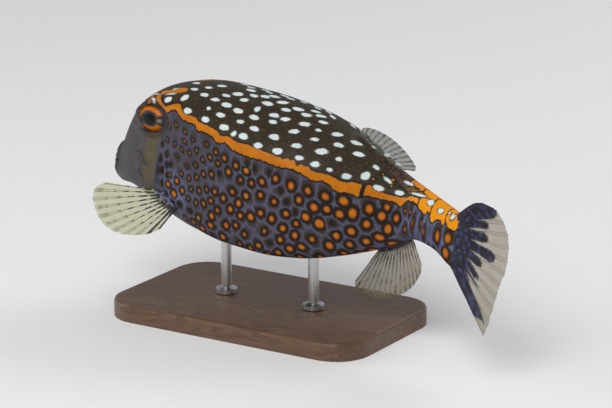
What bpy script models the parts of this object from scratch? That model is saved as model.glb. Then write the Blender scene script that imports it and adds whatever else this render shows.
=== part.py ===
"""A life-size spotted boxfish, an adult male, held up by a plain display stand.

Metres, +Z up. The origin is the middle of the stand's underside, and the fish
heads along -X. Places on the fish are written (back, left, up): how far
behind the lips, how far to the fish's left, and how high above its belly,
all as they are before the tail stalk turns aside.
"""

import math

import bmesh
import bpy
import numpy as np
from mathutils import Matrix, Vector

MM = 0.001
GAP = 0.3 * MM  # kept between pieces that touch
SLIVER = 0.02 * MM  # faces thinner than this are closed up after a cut or a join

# Driving sizes of the fish
BODY_LENGTH = 134 * MM  # lips to the root of the tail fin
MUZZLE_END = 3.8 * MM  # where the lips meet the face
HEAD_END = 27 * MM  # just in front of the gill openings
SHELL_END = 108 * MM  # rear rim of the rigid shell
TAIL_BEND = math.radians(31)  # the tail stalk turns to the fish's left
TAIL_BEND_END = 132 * MM

# Attitude and height on the stand
NOSE_UP = math.radians(7.7)
LEFT_SIDE_UP = math.radians(2.3)
BELLY_CLEARANCE = 26 * MM  # floor to the belly, over the origin
BALANCE_POINT = 62 * MM  # this far behind the lips is over the origin

# Form lines in millimetres. Each row is a cross-section: how far it is behind
# the lips, the height of the back, the height and half width of the upper
# ridge, the height and half width of the lower ridge, and that of the belly.
FORM_LINES = (
    (0.0, 14.8, 14.2, 1.6, 11.4, 1.6, 11.0),
    (0.4, 16.8, 15.6, 3.4, 9.8, 3.6, 9.2),
    (1.2, 18.8, 17.4, 4.7, 8.2, 5.0, 7.4),
    (3.0, 20.0, 18.6, 5.4, 7.2, 5.8, 6.4),
    (4.5, 22.8, 21.2, 6.6, 7.2, 7.0, 6.2),
    (7.0, 27.6, 26.0, 9.0, 7.9, 9.0, 6.4),
    (10.0, 32.4, 30.6, 11.5, 8.6, 10.8, 6.6),
    (13.0, 37.0, 34.8, 13.6, 9.2, 12.2, 6.6),
    (17.0, 42.3, 38.9, 16.2, 9.2, 14.0, 5.8),
    (22.0, 45.4, 41.5, 18.2, 8.8, 16.0, 4.0),
    (30.0, 47.1, 41.4, 20.4, 7.4, 18.4, 1.2),
    (42.0, 48.4, 39.4, 22.4, 5.4, 21.2, -0.6),
    (56.0, 49.0, 37.2, 23.0, 3.8, 23.2, -0.8),
    (70.0, 48.4, 35.6, 22.4, 3.8, 23.4, 0.4),
    (84.0, 46.0, 34.4, 19.4, 5.2, 20.6, 3.0),
    (96.0, 41.4, 31.6, 14.0, 8.2, 15.0, 7.2),
    (108.0, 36.2, 30.0, 8.0, 13.0, 8.6, 12.4),
    (117.0, 33.6, 29.6, 5.4, 18.4, 5.2, 17.4),
    (125.0, 32.2, 29.4, 4.4, 18.4, 4.2, 16.8),
    (134.0, 31.6, 29.4, 2.8, 16.0, 2.8, 14.2),
)

# How a cross-section is shaped and divided
BACK_STEPS = 7  # from the middle of the back to the upper ridge
SIDE_STEPS = 8  # on to the lower ridge
BELLY_STEPS = 5  # and on to the middle of the belly
RIDGE_ROUNDING = 2.4 * MM
SIDE_HOLLOW = 0.9 * MM  # the flank draws in under the upper ridge
SIDE_SWELL = 1.0 * MM  # and swells above the lower one
FACE_END = 20 * MM  # cross-sections stand closer together up to here
FACE_STEP = 1.5 * MM
BODY_STEP = 3.8 * MM

# Head
EYE_BACK = 20.5 * MM
EYE_LEFT = 14.2 * MM
EYE_UP = 34.5 * MM
EYE_RADIUS = 4.6 * MM
ORBIT_RADIUS = 6.2 * MM  # the swelling that the eye sits in
ORBIT_DEPTH = 4.2 * MM
LID_RADIUS = 4.8 * MM
LID_THICKNESS = 0.6 * MM
LID_OUT = 2.7 * MM  # from the middle of the eye
OPENING_OUT = 2.0 * MM  # where the rim of the socket begins to flare
OPENING_RADIUS = 4.1 * MM
FLARE_RADIUS = 6.4 * MM
FLARE_DEPTH = 4.4 * MM
NOSTRIL_PLACE = (13.5 * MM, 31.0 * MM)
NOSTRIL_RADIUS = 0.9 * MM
NOSTRIL_RIM = 0.4 * MM
MOUTH_UP = 13.2 * MM
MOUTH_OPENING = 0.7 * MM
GILL_PLACE = (28.2 * MM, 18.6 * MM)
GILL_HALF_HEIGHT = 4.4 * MM
GILL_FOLD = 1.1 * MM  # thickness of the skin fold behind the slit
GILL_SLIT = 0.5 * MM

# Fins
MEMBRANE = 0.6 * MM
RAY_RELIEF = 0.3 * MM
MARGIN_SHARE = 0.8  # of the thickness, left at a fin's free edge
RAY_HALF_WIDTH = 0.17  # as a share of the spacing of the rays
FIN_ROWS = 5
ROOT_SHARE = 0.24  # how far out along its rays a fin's fleshy root reaches
ROOT_SINK = 1.4 * MM  # how deep a fin starts in the body before it is trimmed
TAIL_CUP = 3.0 * MM  # the tail fin's corners curl to the left

# Stand
BASE_LENGTH = 96 * MM
BASE_WIDTH = 58 * MM
BASE_HEIGHT = 6 * MM
BASE_CORNER = 12 * MM
BASE_CHAMFER = 1.0 * MM
ROD_RADIUS = 1.8 * MM
ROD_FOOT_RADIUS = 3.6 * MM
ROD_FOOT_HEIGHT = 1.4 * MM
ROD_SPREAD = 17 * MM  # each rod's distance from the origin
ROUND_SIDES = 24

# Colour, roughness and metallic value of each material
FINISHES = {
    "face_grey": ((0.07, 0.07, 0.075), 0.5, 0.0),
    "shell_spotted": ((0.06, 0.055, 0.11), 0.45, 0.0),
    "stalk_orange": ((0.75, 0.27, 0.01), 0.45, 0.0),
    "eye_amber": ((0.16, 0.07, 0.01), 0.12, 0.0),
    "fin_clear": ((0.55, 0.53, 0.42), 0.45, 0.0),
    "fin_dark": ((0.05, 0.05, 0.1), 0.45, 0.0),
    "stand_wood": ((0.14, 0.075, 0.04), 0.5, 0.0),
    "stand_steel": ((0.6, 0.6, 0.6), 0.3, 1.0),
}


def smooth_through(knots, values):
    """A smooth line through the values that doesn't overshoot between them."""
    knots, values = np.asarray(knots, float), np.asarray(values, float)
    step = np.diff(knots)
    rise = np.diff(values) / step
    same_way = rise[:-1] * rise[1:] > 0
    total = np.where(same_way, rise[:-1] + rise[1:], 1.0)
    slope = np.zeros(len(values))
    slope[1:-1] = np.where(same_way, 2 * rise[:-1] * rise[1:] / total, 0.0)
    slope[0], slope[-1] = rise[0], rise[-1]

    def value(at):
        at = np.clip(at, knots[0], knots[-1])
        i = np.clip(np.searchsorted(knots, at) - 1, 0, len(step) - 1)
        t = (at - knots[i]) / step[i]
        near = (1 + 2 * t) * values[i] + t * step[i] * slope[i]
        far = (3 - 2 * t) * values[i + 1] + (t - 1) * step[i] * slope[i + 1]
        return near * (1 - t) ** 2 + far * t**2

    return value


STATION, *LINES = (np.array(column) * MM for column in zip(*FORM_LINES))
back_up, ridge_up, ridge_out, keel_up, keel_out, belly_up = (
    smooth_through(STATION, line) for line in LINES
)
TALLEST_FLANK = float(np.max(ridge_up(STATION) - keel_up(STATION)))


def sharp_outline(back):
    """Half a cross-section as (left, up) points from back to belly, its ridges still sharp."""
    ridge = np.array([ridge_out(back), ridge_up(back)])
    keel = np.array([keel_out(back), keel_up(back)])
    u = np.linspace(0, 1, BACK_STEPS, endpoint=False)
    arch = np.column_stack([ridge[0] * u, ridge[1] + (back_up(back) - ridge[1]) * (1 - u**2)])
    u = np.linspace(0, 1, SIDE_STEPS, endpoint=False)[:, None]
    draw = (SIDE_SWELL * u - SIDE_HOLLOW * (1 - u)) * 2 * np.sin(math.pi * u) ** 2
    draw = draw * (ridge[1] - keel[1]) / TALLEST_FLANK
    flank = ridge + (keel - ridge) * u + draw * [1, 0]
    u = np.linspace(0, 1, BELLY_STEPS + 1)
    belly = np.column_stack([keel[0] * (1 - u), belly_up(back) + (keel[1] - belly_up(back)) * (1 - u) ** 2])
    return np.concatenate([arch, flank, belly])


def outline(back):
    """A whole cross-section as a closed ring of (left, up) points, its ridges rounded."""
    half = sharp_outline(back)
    ring = np.concatenate([half, half[-2:0:-1] * [-1, 1]])
    spacing = np.linalg.norm(np.roll(ring, -1, 0) - ring, axis=1).mean()
    near = np.arange(-(len(ring) // 2), len(ring) // 2)
    weight = np.exp(-0.5 * (near * spacing / RIDGE_ROUNDING) ** 2)
    weight /= weight.sum()
    soft = sum(w * np.roll(ring, -n, 0) for n, w in zip(near, weight))
    grown = np.ptp(ring, axis=0) / np.ptp(soft, axis=0)
    return (soft - soft.min(0)) * grown + ring.min(0)


def bent(points):
    """Points of the fish, given as (back, left, up), once the tail stalk has turned to the left."""
    back, left, up = np.asarray(points, float).T
    radius = (TAIL_BEND_END - SHELL_END) / TAIL_BEND
    angle = np.clip((back - SHELL_END) / radius, 0, TAIL_BEND)
    beyond = np.maximum(back - TAIL_BEND_END, 0)
    along = np.minimum(back, SHELL_END) + radius * np.sin(angle) + beyond * np.cos(angle)
    aside = radius * (1 - np.cos(angle)) + beyond * np.sin(angle)
    return np.column_stack([left * np.sin(angle) - along, aside + left * np.cos(angle), up])


def flank_at(back, up, side):
    """The place on the flank at that height, and the way out of it."""
    half = BACK_STEPS + SIDE_STEPS + BELLY_STEPS + 1

    def width(back, up):
        left, height = outline(back)[:half][::-1].T
        return float(np.interp(up, np.maximum.accumulate(height), left))

    reach = 1 * MM
    widening = (width(back + reach, up) - width(back - reach, up)) / (2 * reach)
    leaning = (width(back, up + reach) - width(back, up - reach)) / (2 * reach)
    place = Vector((-back, side * width(back, up), up))
    return place, Vector((widening, side, -leaning)).normalized()


def stations(start, end):
    """Where the cross-sections of a length of body stand."""
    face = np.arange(0, FACE_END, FACE_STEP)
    rest = np.linspace(FACE_END, BODY_LENGTH, round((BODY_LENGTH - FACE_END) / BODY_STEP) + 1)
    places = np.concatenate([face, rest])
    clear = FACE_STEP / 3
    between = places[(places > start + clear) & (places < end - clear)]
    return [start, *between, end]


def length_of_body(start, end, grown=0.0):
    """A closed length of the body between two cross-sections, as points and faces."""
    rings = []
    for back in stations(start, end):
        ring = outline(back)
        along = np.roll(ring, -1, 0) - np.roll(ring, 1, 0)
        out = along[:, ::-1] * [-1, 1] / np.linalg.norm(along, axis=1)[:, None]
        ring = ring + grown * out
        rings.append(bent(np.column_stack([np.full(len(ring), back), ring])))
    count = len(rings[0])
    faces = []
    for row in range(len(rings) - 1):
        for k in range(count):
            a = row * count + k
            b = row * count + (k + 1) % count
            faces.append((a, b, b + count, a + count))
    first = list(range(count))
    faces.append(first[::-1])
    faces.append([(len(rings) - 1) * count + k for k in first])
    return np.concatenate(rings), faces


def finish_named(name):
    """The material of that name, made when it is first asked for."""
    if name in bpy.data.materials:
        return bpy.data.materials[name]
    colour, roughness, metallic = FINISHES[name]
    material = bpy.data.materials.new(name)
    material.use_nodes = True
    shader = material.node_tree.nodes["Principled BSDF"]
    shader.inputs["Base Color"].default_value = (*colour, 1.0)
    shader.inputs["Roughness"].default_value = roughness
    shader.inputs["Metallic"].default_value = metallic
    return material


def add_object(name, points, faces, finish=None, parent=None):
    """An object whose closed mesh has its faces pointing out."""
    mesh = bpy.data.meshes.new(name)
    mesh.from_pydata([tuple(map(float, point)) for point in points], [], faces)
    work = bmesh.new()
    work.from_mesh(mesh)
    bmesh.ops.recalc_face_normals(work, faces=work.faces)
    work.to_mesh(mesh)
    work.free()
    thing = bpy.data.objects.new(name, mesh)
    bpy.context.scene.collection.objects.link(thing)
    thing.parent = parent
    if finish:
        mesh.materials.append(finish_named(finish))
    return thing


def shade_round(thing, sharp_angle=50):
    thing.data.shade_smooth()
    thing.data.set_sharp_from_angle(angle=math.radians(sharp_angle))


def turned(profile, place=Matrix.Identity(4), sides=ROUND_SIDES):
    """Points and faces of a solid turned about Z; the profile's (radius, up) points run upwards."""
    points, rows = [], []
    for radius, up in profile:
        count = 1 if radius == 0 else sides
        rows.append(range(len(points), len(points) + count))
        for k in range(count):
            angle = 2 * math.pi * k / sides
            points.append(place @ Vector((radius * math.cos(angle), radius * math.sin(angle), up)))
    faces = []
    for low, high in zip(rows, rows[1:]):
        for k in range(sides):
            around = [low[k % len(low)], low[(k + 1) % len(low)]]
            around += [high[(k + 1) % len(high)], high[k % len(high)]]
            faces.append(list(dict.fromkeys(around)))
    return points, faces


def ball(radius, place, rows=10, sides=20):
    """Points and faces of a ball."""
    angles = [math.pi * r / rows for r in range(1, rows)]
    profile = [(radius * math.sin(a), -radius * math.cos(a)) for a in angles]
    return turned([(0, -radius), *profile, (0, radius)], place, sides)


def ring(radius, thickness, place, sides=20, around=6):
    """Points and faces of a ring of round section."""
    points, faces = [], []
    for k in range(sides):
        turn = Matrix.Rotation(2 * math.pi * k / sides, 4, "Z")
        for j in range(around):
            a = 2 * math.pi * j / around
            points.append(place @ turn @ Vector((radius + thickness * math.cos(a), 0, thickness * math.sin(a))))
            k2, j2 = (k + 1) % sides, (j + 1) % around
            faces.append((k * around + j, k2 * around + j, k2 * around + j2, k * around + j2))
    return points, faces


def facing(place, way, size=(1, 1, 1)):
    """A matrix that sets a shape at the place with its Z along the way."""
    spin = Vector(way).to_track_quat("Z", "Y").to_matrix().to_4x4()
    return Matrix.Translation(place) @ spin @ Matrix.Diagonal((*size, 1))


def keep_largest_surface(mesh):
    """Drops every closed surface but the one with the most area, and closes up slivers."""
    work = bmesh.new()
    work.from_mesh(mesh)
    surfaces = []
    for first in work.faces:
        if first.tag:
            continue
        first.tag = True
        surface = [first]
        for face in surface:
            near = [n for edge in face.edges for n in edge.link_faces if not n.tag]
            for neighbour in dict.fromkeys(near):
                neighbour.tag = True
                surface.append(neighbour)
        surfaces.append(surface)
    surfaces.sort(key=lambda surface: sum(face.calc_area() for face in surface))
    scraps = [face for surface in surfaces[:-1] for face in surface]
    bmesh.ops.delete(work, geom=scraps, context="FACES")
    bmesh.ops.triangulate(work, faces=work.faces)
    bmesh.ops.dissolve_degenerate(work, dist=SLIVER, edges=work.edges)
    bmesh.ops.triangulate(work, faces=work.faces)
    work.to_mesh(mesh)
    work.free()


def combine(target, others, operation):
    """Joins the other objects to the target, or cuts them out of it, and removes them."""
    group = bpy.data.collections.new(target.name + "_" + operation.lower())
    bpy.context.scene.collection.children.link(group)
    for other in others:
        group.objects.link(other)
        bpy.context.scene.collection.objects.unlink(other)
    modifier = target.modifiers.new(operation.lower(), "BOOLEAN")
    modifier.operation = operation
    modifier.solver = "EXACT"
    modifier.operand_type = "COLLECTION"
    modifier.collection = group
    view = bpy.context.evaluated_depsgraph_get()
    view.update()
    result = bpy.data.meshes.new_from_object(target.evaluated_get(view))
    target.modifiers.clear()
    target.data = result
    for other in others:
        bpy.data.objects.remove(other)
    bpy.data.collections.remove(group)
    keep_largest_surface(result)


def make_lips(fish):
    """The muzzle's two lips, parted by the line of the mouth."""
    parts = {"lip_upper": 1, "lip_lower": -1}
    for name, side in parts.items():
        lip = add_object(name, *length_of_body(0, MUZZLE_END - GAP / 2), "face_grey", fish)
        work = bmesh.new()
        work.from_mesh(lip.data)
        edge = Vector((0, 0, MOUTH_UP + side * MOUTH_OPENING / 2))
        every = work.verts[:] + work.edges[:] + work.faces[:]
        cut = bmesh.ops.bisect_plane(work, geom=every, plane_co=edge, plane_no=(0, 0, -side), clear_outer=True)
        rim = [item for item in cut["geom_cut"] if isinstance(item, bmesh.types.BMEdge)]
        bmesh.ops.edgeloop_fill(work, edges=rim)
        bmesh.ops.recalc_face_normals(work, faces=work.faces)
        work.to_mesh(lip.data)
        work.free()
        shade_round(lip)


def make_head(fish):
    """The face with its eyes, the lids round them and the nostrils."""
    head = add_object("head", *length_of_body(MUZZLE_END + GAP / 2, HEAD_END - GAP / 2), "face_grey", fish)
    orbits, sockets, rims = [], [], []
    for side, word in ((1, "left"), (-1, "right")):
        way = Vector((0, side, 0))
        middle = Vector((-EYE_BACK, side * EYE_LEFT, EYE_UP))
        orbit = facing(middle, way, (1, 1, ORBIT_DEPTH / ORBIT_RADIUS))
        orbits.append(add_object("orbit_" + word, *ball(ORBIT_RADIUS, orbit), parent=fish))
        socket = ball(EYE_RADIUS + GAP, facing(middle, way))
        sockets.append(add_object("socket_" + word, *socket, parent=fish))
        flare = [(0, 0), (OPENING_RADIUS, 0), (FLARE_RADIUS, FLARE_DEPTH), (0, FLARE_DEPTH)]
        opening = facing(middle + way * OPENING_OUT, way)
        sockets.append(add_object("opening_" + word, *turned(flare, opening), parent=fish))
        lid = facing(middle + way * LID_OUT, way)
        rims.append(add_object("lid_" + word, *ring(LID_RADIUS, LID_THICKNESS, lid), parent=fish))
        nostril = facing(*flank_at(*NOSTRIL_PLACE, side))
        nostril = ring(NOSTRIL_RADIUS, NOSTRIL_RIM, nostril, 10)
        rims.append(add_object("nostril_" + word, *nostril, parent=fish))
        eye = add_object("eye_" + word, *ball(EYE_RADIUS, facing(middle, way)), "eye_amber", fish)
        shade_round(eye)
    combine(head, orbits, "UNION")
    combine(head, sockets, "DIFFERENCE")
    combine(head, rims, "UNION")
    shade_round(head)


def make_shell(fish):
    """The rigid shell behind the head, with the gill openings and the fold behind each."""
    shell = add_object("torso", *length_of_body(HEAD_END + GAP / 2, SHELL_END - GAP / 2), "shell_spotted", fish)
    slits, folds = [], []
    for side, word in ((1, "left"), (-1, "right")):
        place, way = flank_at(*GILL_PLACE, side)
        upright = Matrix.Diagonal((GILL_SLIT, GILL_FOLD, GILL_HALF_HEIGHT, 1))
        slit = ball(1, Matrix.Translation(place) @ upright)
        slits.append(add_object("slit_" + word, *slit, parent=fish))
        upright = Matrix.Diagonal((GILL_FOLD, GILL_FOLD, GILL_HALF_HEIGHT, 1))
        behind = place - Vector((GILL_SLIT + GILL_FOLD, 0, 0))
        fold = ball(1, Matrix.Translation(behind) @ upright)
        folds.append(add_object("fold_" + word, *fold, parent=fish))
    combine(shell, folds, "UNION")
    combine(shell, slits, "DIFFERENCE")
    shade_round(shell)


def make_tail_stalk(fish):
    stalk = length_of_body(SHELL_END + GAP / 2, BODY_LENGTH)
    shade_round(add_object("tail_stalk", *stalk, "stalk_orange", fish))


def ray_columns(count):
    """Where the columns of a fin's mesh stand across it, and which are the rays' crests."""
    columns = []
    for ray in range(count):
        for shift in (-RAY_HALF_WIDTH, 0, RAY_HALF_WIDTH, 0.5):
            place = (ray + shift) / (count - 1)
            if 0 <= place <= 1:
                columns.append((place, shift == 0))
    return columns


def fan_of_rays(roots, ways, lengths, count):
    """Roots and tips of rays, spread evenly from the first root and way to the last ones."""
    length_at = smooth_through(np.linspace(0, 1, len(lengths)), lengths)
    first, last = (Vector(way).normalized() for way in ways)
    rays = []
    for ray in range(count):
        share = ray / (count - 1)
        root = Vector(roots[0]).lerp(Vector(roots[1]), share)
        way = first.slerp(last, share)
        rays.append((root - way * ROOT_SINK, root + way * float(length_at(share))))
    return rays


def fin(name, rays, root_thickness, finish, fish, trimmed=True):
    """A membrane with its rays raised on both faces, split into triangles alike on both."""
    shares = np.linspace(0, 1, len(rays))
    ends = [[smooth_through(shares, [ray[end][k] for ray in rays]) for k in range(3)] for end in (0, 1)]
    columns = ray_columns(len(rays))
    middle, half = [], []
    for row in range(FIN_ROWS + 1):
        out = (row / FIN_ROWS) ** 0.85
        thinning = 1 - (1 - MARGIN_SHARE) * out
        root = (root_thickness - MEMBRANE) / 2 * max(0.0, 1 - out / ROOT_SHARE) ** 1.5
        for share, crest in columns:
            low, high = (np.array([line(share) for line in lines]) for lines in ends)
            middle.append(low + (high - low) * out)
            half.append((MEMBRANE / 2 + RAY_RELIEF * crest) * thinning + root)
    rows, count = FIN_ROWS + 1, len(columns)
    middle = bent(middle).reshape(rows, count, 3)
    across = np.cross(np.gradient(middle, axis=0), np.gradient(middle, axis=1))
    across /= np.linalg.norm(across, axis=2)[:, :, None]
    offset = across * np.array(half).reshape(rows, count, 1)
    points = np.concatenate([(middle + offset).reshape(-1, 3), (middle - offset).reshape(-1, 3)])
    far = rows * count
    faces = []
    for row in range(rows - 1):
        for column in range(count - 1):
            a = row * count + column
            for face in ((a, a + 1, a + 1 + count), (a, a + 1 + count, a + count)):
                faces.append(face)
                faces.append([corner + far for corner in face[::-1]])
    edge = list(range(count)) + [row * count + count - 1 for row in range(1, rows)]
    edge += list(range(far - 2, far - count - 1, -1)) + [row * count for row in range(rows - 2, 0, -1)]
    for a, b in zip(edge, edge[1:] + edge[:1]):
        faces.append((a, b, b + far))
        faces.append((a, b + far, a + far))
    thing = add_object(name, points, faces, finish, fish)
    if trimmed:
        trim_to_body(thing, fish)
    shade_round(thing, 70)


def trim_to_body(thing, fish):
    """Cuts away what lies in the body, and the gap round it."""
    body = add_object("body_room", *length_of_body(0, BODY_LENGTH, GAP), parent=fish)
    combine(thing, [body], "DIFFERENCE")


def make_side_fins(fish):
    """The two fins behind the gills, held forward and out."""
    for side, word in ((1, "left"), (-1, "right")):
        roots = ((29.5 * MM, side * 19.2 * MM, 12.3 * MM), (36.5 * MM, side * 20.4 * MM, 7.8 * MM))
        ways = ((-0.9, side * 0.44, -0.01), (-0.1, side * 0.72, -0.68))
        lengths = np.array((20.7, 23.0, 22.8, 20.5, 15.0, 9.0)) * MM
        fin("pectoral_fin_" + word, fan_of_rays(roots, ways, lengths, 10), 2.4 * MM, "fin_clear", fish)


def make_back_fin(fish):
    """The small fin far back on the back, leaning to the right."""
    roots = ((89.5 * MM, 0, float(back_up(89.5 * MM))), (105 * MM, 0, float(back_up(105 * MM))))
    ways = ((0.15, -0.25, 1.0), (1.0, -0.25, 0.1))
    lengths = np.array((3.2, 5.0, 6.2, 6.8, 7.0, 6.4)) * MM
    fin("dorsal_fin", fan_of_rays(roots, ways, lengths, 9), 3.0 * MM, "fin_clear", fish)


def make_belly_fin(fish):
    """The fin under the rear of the shell, on its fleshy root."""
    roots = ((103 * MM, 0, float(belly_up(103 * MM))), (114 * MM, 0, float(belly_up(114 * MM))))
    ways = ((-0.48, 0.0, -0.88), (0.6, 0.0, -0.8))
    lengths = np.array((17.4, 19.7, 18.4, 15.2, 10.0)) * MM
    fin("anal_fin", fan_of_rays(roots, ways, lengths, 9), 5.0 * MM, "fin_clear", fish)


def make_tail_fin(fish):
    """The fan-shaped tail fin, which meets the end of the stalk."""
    start = BODY_LENGTH + GAP + ROOT_SINK
    roots = ((start, 0, 31.2 * MM), (start, 0, 14.8 * MM))
    ways = ((0.84, 0.0, 0.54), (0.92, 0.0, -0.43))
    lengths = np.array((20.5, 26.8, 29.5, 29.0, 27.2, 28.0, 30.5)) * MM
    rays = fan_of_rays(roots, ways, lengths, 10)
    cupped = []
    for i, (root, tip) in enumerate(rays):
        root.x = BODY_LENGTH + GAP
        corner = (2 * i / (len(rays) - 1) - 1) ** 2
        cupped.append((root, tip + Vector((0, TAIL_CUP * corner, 0))))
    fin("caudal_fin", cupped, 4.8 * MM, "fin_dark", fish, trimmed=False)


def make_stand(fish):
    """A flat base with rounded corners, and two rods up to the belly."""
    work = bmesh.new()
    size = Matrix.Diagonal((BASE_LENGTH, BASE_WIDTH, BASE_HEIGHT, 1))
    bmesh.ops.create_cube(work, size=1, matrix=Matrix.Translation((0, 0, BASE_HEIGHT / 2)) @ size)
    corners = [e for e in work.edges if abs(e.verts[0].co.z - e.verts[1].co.z) > BASE_HEIGHT / 2]
    bmesh.ops.bevel(work, geom=corners, offset=BASE_CORNER, segments=8, profile=0.5, affect="EDGES")
    top = [e for e in work.edges if min(v.co.z for v in e.verts) > BASE_HEIGHT * 0.9]
    bmesh.ops.bevel(work, geom=top, offset=BASE_CHAMFER, segments=2, profile=0.5, affect="EDGES")
    mesh = bpy.data.meshes.new("stand_base")
    work.to_mesh(mesh)
    work.free()
    mesh.materials.append(finish_named("stand_wood"))
    base = bpy.data.objects.new("stand_base", mesh)
    bpy.context.scene.collection.objects.link(base)
    for name, x in (("stand_rod_front", -ROD_SPREAD), ("stand_rod_rear", ROD_SPREAD)):
        foot = BASE_HEIGHT + GAP
        high = BELLY_CLEARANCE + 3 * ROD_SPREAD / 4
        profile = [(0, foot), (ROD_FOOT_RADIUS, foot), (ROD_FOOT_RADIUS, foot + ROD_FOOT_HEIGHT)]
        profile += [(ROD_RADIUS, foot + 1.5 * ROD_FOOT_HEIGHT), (ROD_RADIUS, high), (0, high)]
        rod = add_object(name, *turned(profile, Matrix.Translation((x, 0, 0))), "stand_steel")
        trim_to_body(rod, fish)
        shade_round(rod, 40)


def make_fish_frame():
    """The empty that carries the fish and holds it at its height and attitude."""
    fish = bpy.data.objects.new("fish", None)
    bpy.context.scene.collection.objects.link(fish)
    fish.rotation_euler = (LEFT_SIDE_UP, -NOSE_UP, math.pi)
    turn = fish.rotation_euler.to_matrix()
    fish.location = Vector((0, 0, BELLY_CLEARANCE)) + turn @ Vector((BALANCE_POINT, 0, 0))
    return fish


def main():
    for thing in list(bpy.data.objects):
        bpy.data.objects.remove(thing)
    fish = make_fish_frame()
    make_lips(fish)
    make_head(fish)
    make_shell(fish)
    make_tail_stalk(fish)
    make_side_fins(fish)
    make_back_fin(fish)
    make_belly_fin(fish)
    make_tail_fin(fish)
    make_stand(fish)


main()
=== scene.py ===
"""Looks of the life-size spotted boxfish model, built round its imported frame.

One fine skin covers the whole fish, from the lips to the root of the tail
fin. Places on the fish are in millimetres, as (back, left, up): how far
behind the lips, how far to the fish's left, and how high above its belly.
On the skin they are also (back, above): above is the distance round the
body from the upper ridge, plus towards the middle of the back and minus
down the flank. The skin's points carry marks that its paint is drawn from:
distances inside a painted shape, in millimetres, or shares from 0 to 1.
"""
import math

import bmesh
import bpy
import numpy as np
from mathutils import Matrix, Vector


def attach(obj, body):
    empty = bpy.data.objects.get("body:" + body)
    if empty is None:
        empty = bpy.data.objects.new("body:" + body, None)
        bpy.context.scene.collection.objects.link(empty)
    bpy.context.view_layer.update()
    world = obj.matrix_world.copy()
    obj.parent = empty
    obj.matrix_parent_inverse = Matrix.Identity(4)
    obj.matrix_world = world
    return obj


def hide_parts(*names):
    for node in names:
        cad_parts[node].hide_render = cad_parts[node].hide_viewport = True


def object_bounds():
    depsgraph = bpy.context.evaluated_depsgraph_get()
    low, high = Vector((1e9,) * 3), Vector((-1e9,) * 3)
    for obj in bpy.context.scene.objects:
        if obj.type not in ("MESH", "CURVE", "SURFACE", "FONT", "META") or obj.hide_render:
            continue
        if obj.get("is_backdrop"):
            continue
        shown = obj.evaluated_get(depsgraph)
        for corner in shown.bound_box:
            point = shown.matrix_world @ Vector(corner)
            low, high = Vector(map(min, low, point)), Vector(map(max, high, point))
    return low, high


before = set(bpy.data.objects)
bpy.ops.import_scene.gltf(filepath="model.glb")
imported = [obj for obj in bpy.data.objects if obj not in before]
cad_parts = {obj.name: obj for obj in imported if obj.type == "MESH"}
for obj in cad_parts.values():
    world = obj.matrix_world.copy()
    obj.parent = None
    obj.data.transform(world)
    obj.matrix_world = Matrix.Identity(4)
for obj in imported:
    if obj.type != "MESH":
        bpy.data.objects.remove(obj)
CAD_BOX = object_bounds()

MM = 0.001
FAR_OFF = -9.0  # the distance inside a shape that isn't near

# Form of the fish, as its solids have it
BODY_LENGTH = 134
SKIN_LENGTH = 135.7  # the skin runs on a little over the root of the tail fin
SHELL_END = 108
TAIL_BEND = math.radians(31)
TAIL_BEND_END = 132
NOSE_UP = math.radians(7.7)
LEFT_SIDE_UP = math.radians(2.3)
BELLY_CLEARANCE = 26
BALANCE_POINT = 62

# Each row is a cross-section: how far it is behind the lips, the height of
# the back, the height and half width of the upper ridge, the height and half
# width of the lower ridge, and the height of the belly.
FORM_LINES = (
    (0.0, 14.8, 14.2, 1.6, 11.4, 1.6, 11.0),
    (0.4, 16.8, 15.6, 3.4, 9.8, 3.6, 9.2),
    (1.2, 18.8, 17.4, 4.7, 7.9, 5.0, 7.0),
    (3.0, 20.0, 18.6, 5.4, 6.7, 5.8, 5.8),
    (4.5, 22.8, 21.2, 6.6, 6.7, 7.0, 5.6),
    (7.0, 27.8, 26.1, 9.0, 7.6, 9.0, 6.0),
    (10.0, 33.0, 31.1, 11.5, 8.6, 10.8, 6.6),
    (13.0, 38.0, 35.6, 13.6, 9.2, 12.2, 6.6),
    (17.0, 42.2, 39.0, 16.2, 9.2, 14.0, 5.8),
    (22.0, 44.3, 41.2, 18.2, 8.8, 16.0, 4.0),
    (30.0, 46.9, 41.4, 20.4, 7.4, 18.4, 1.2),
    (42.0, 48.4, 39.4, 22.4, 5.4, 21.2, -0.6),
    (56.0, 49.0, 37.2, 23.0, 3.8, 23.2, -0.8),
    (70.0, 48.4, 35.6, 22.4, 3.8, 23.4, 0.4),
    (84.0, 46.0, 34.4, 19.4, 5.2, 20.6, 3.0),
    (96.0, 41.4, 31.6, 14.0, 8.2, 15.0, 7.2),
    (108.0, 36.2, 30.0, 8.0, 13.0, 8.6, 12.4),
    (117.0, 33.6, 29.6, 5.4, 18.4, 5.2, 17.4),
    (125.0, 32.2, 29.4, 4.4, 18.4, 4.2, 16.8),
    (134.0, 31.6, 29.4, 2.8, 16.0, 2.8, 14.2),
)
BACK_STEPS = 50  # round the skin, from the middle of the back to the upper ridge
SIDE_STEPS = 56  # on to the lower ridge
BELLY_STEPS = 34  # and on to the middle of the belly
HALF_RING = BACK_STEPS + SIDE_STEPS + BELLY_STEPS
RIDGE_ROUNDING = 2.4
MUZZLE_ROUNDING = 1.5  # more of it at the lips
SIDE_HOLLOW = 0.9
SIDE_SWELL = 1.0
FINE_LENGTH = 35  # the head and the gills have closer cross-sections
FINE_STEP = 0.3
BODY_STEP = 0.52
FORM_SOFTNESS = 1.5

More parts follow.
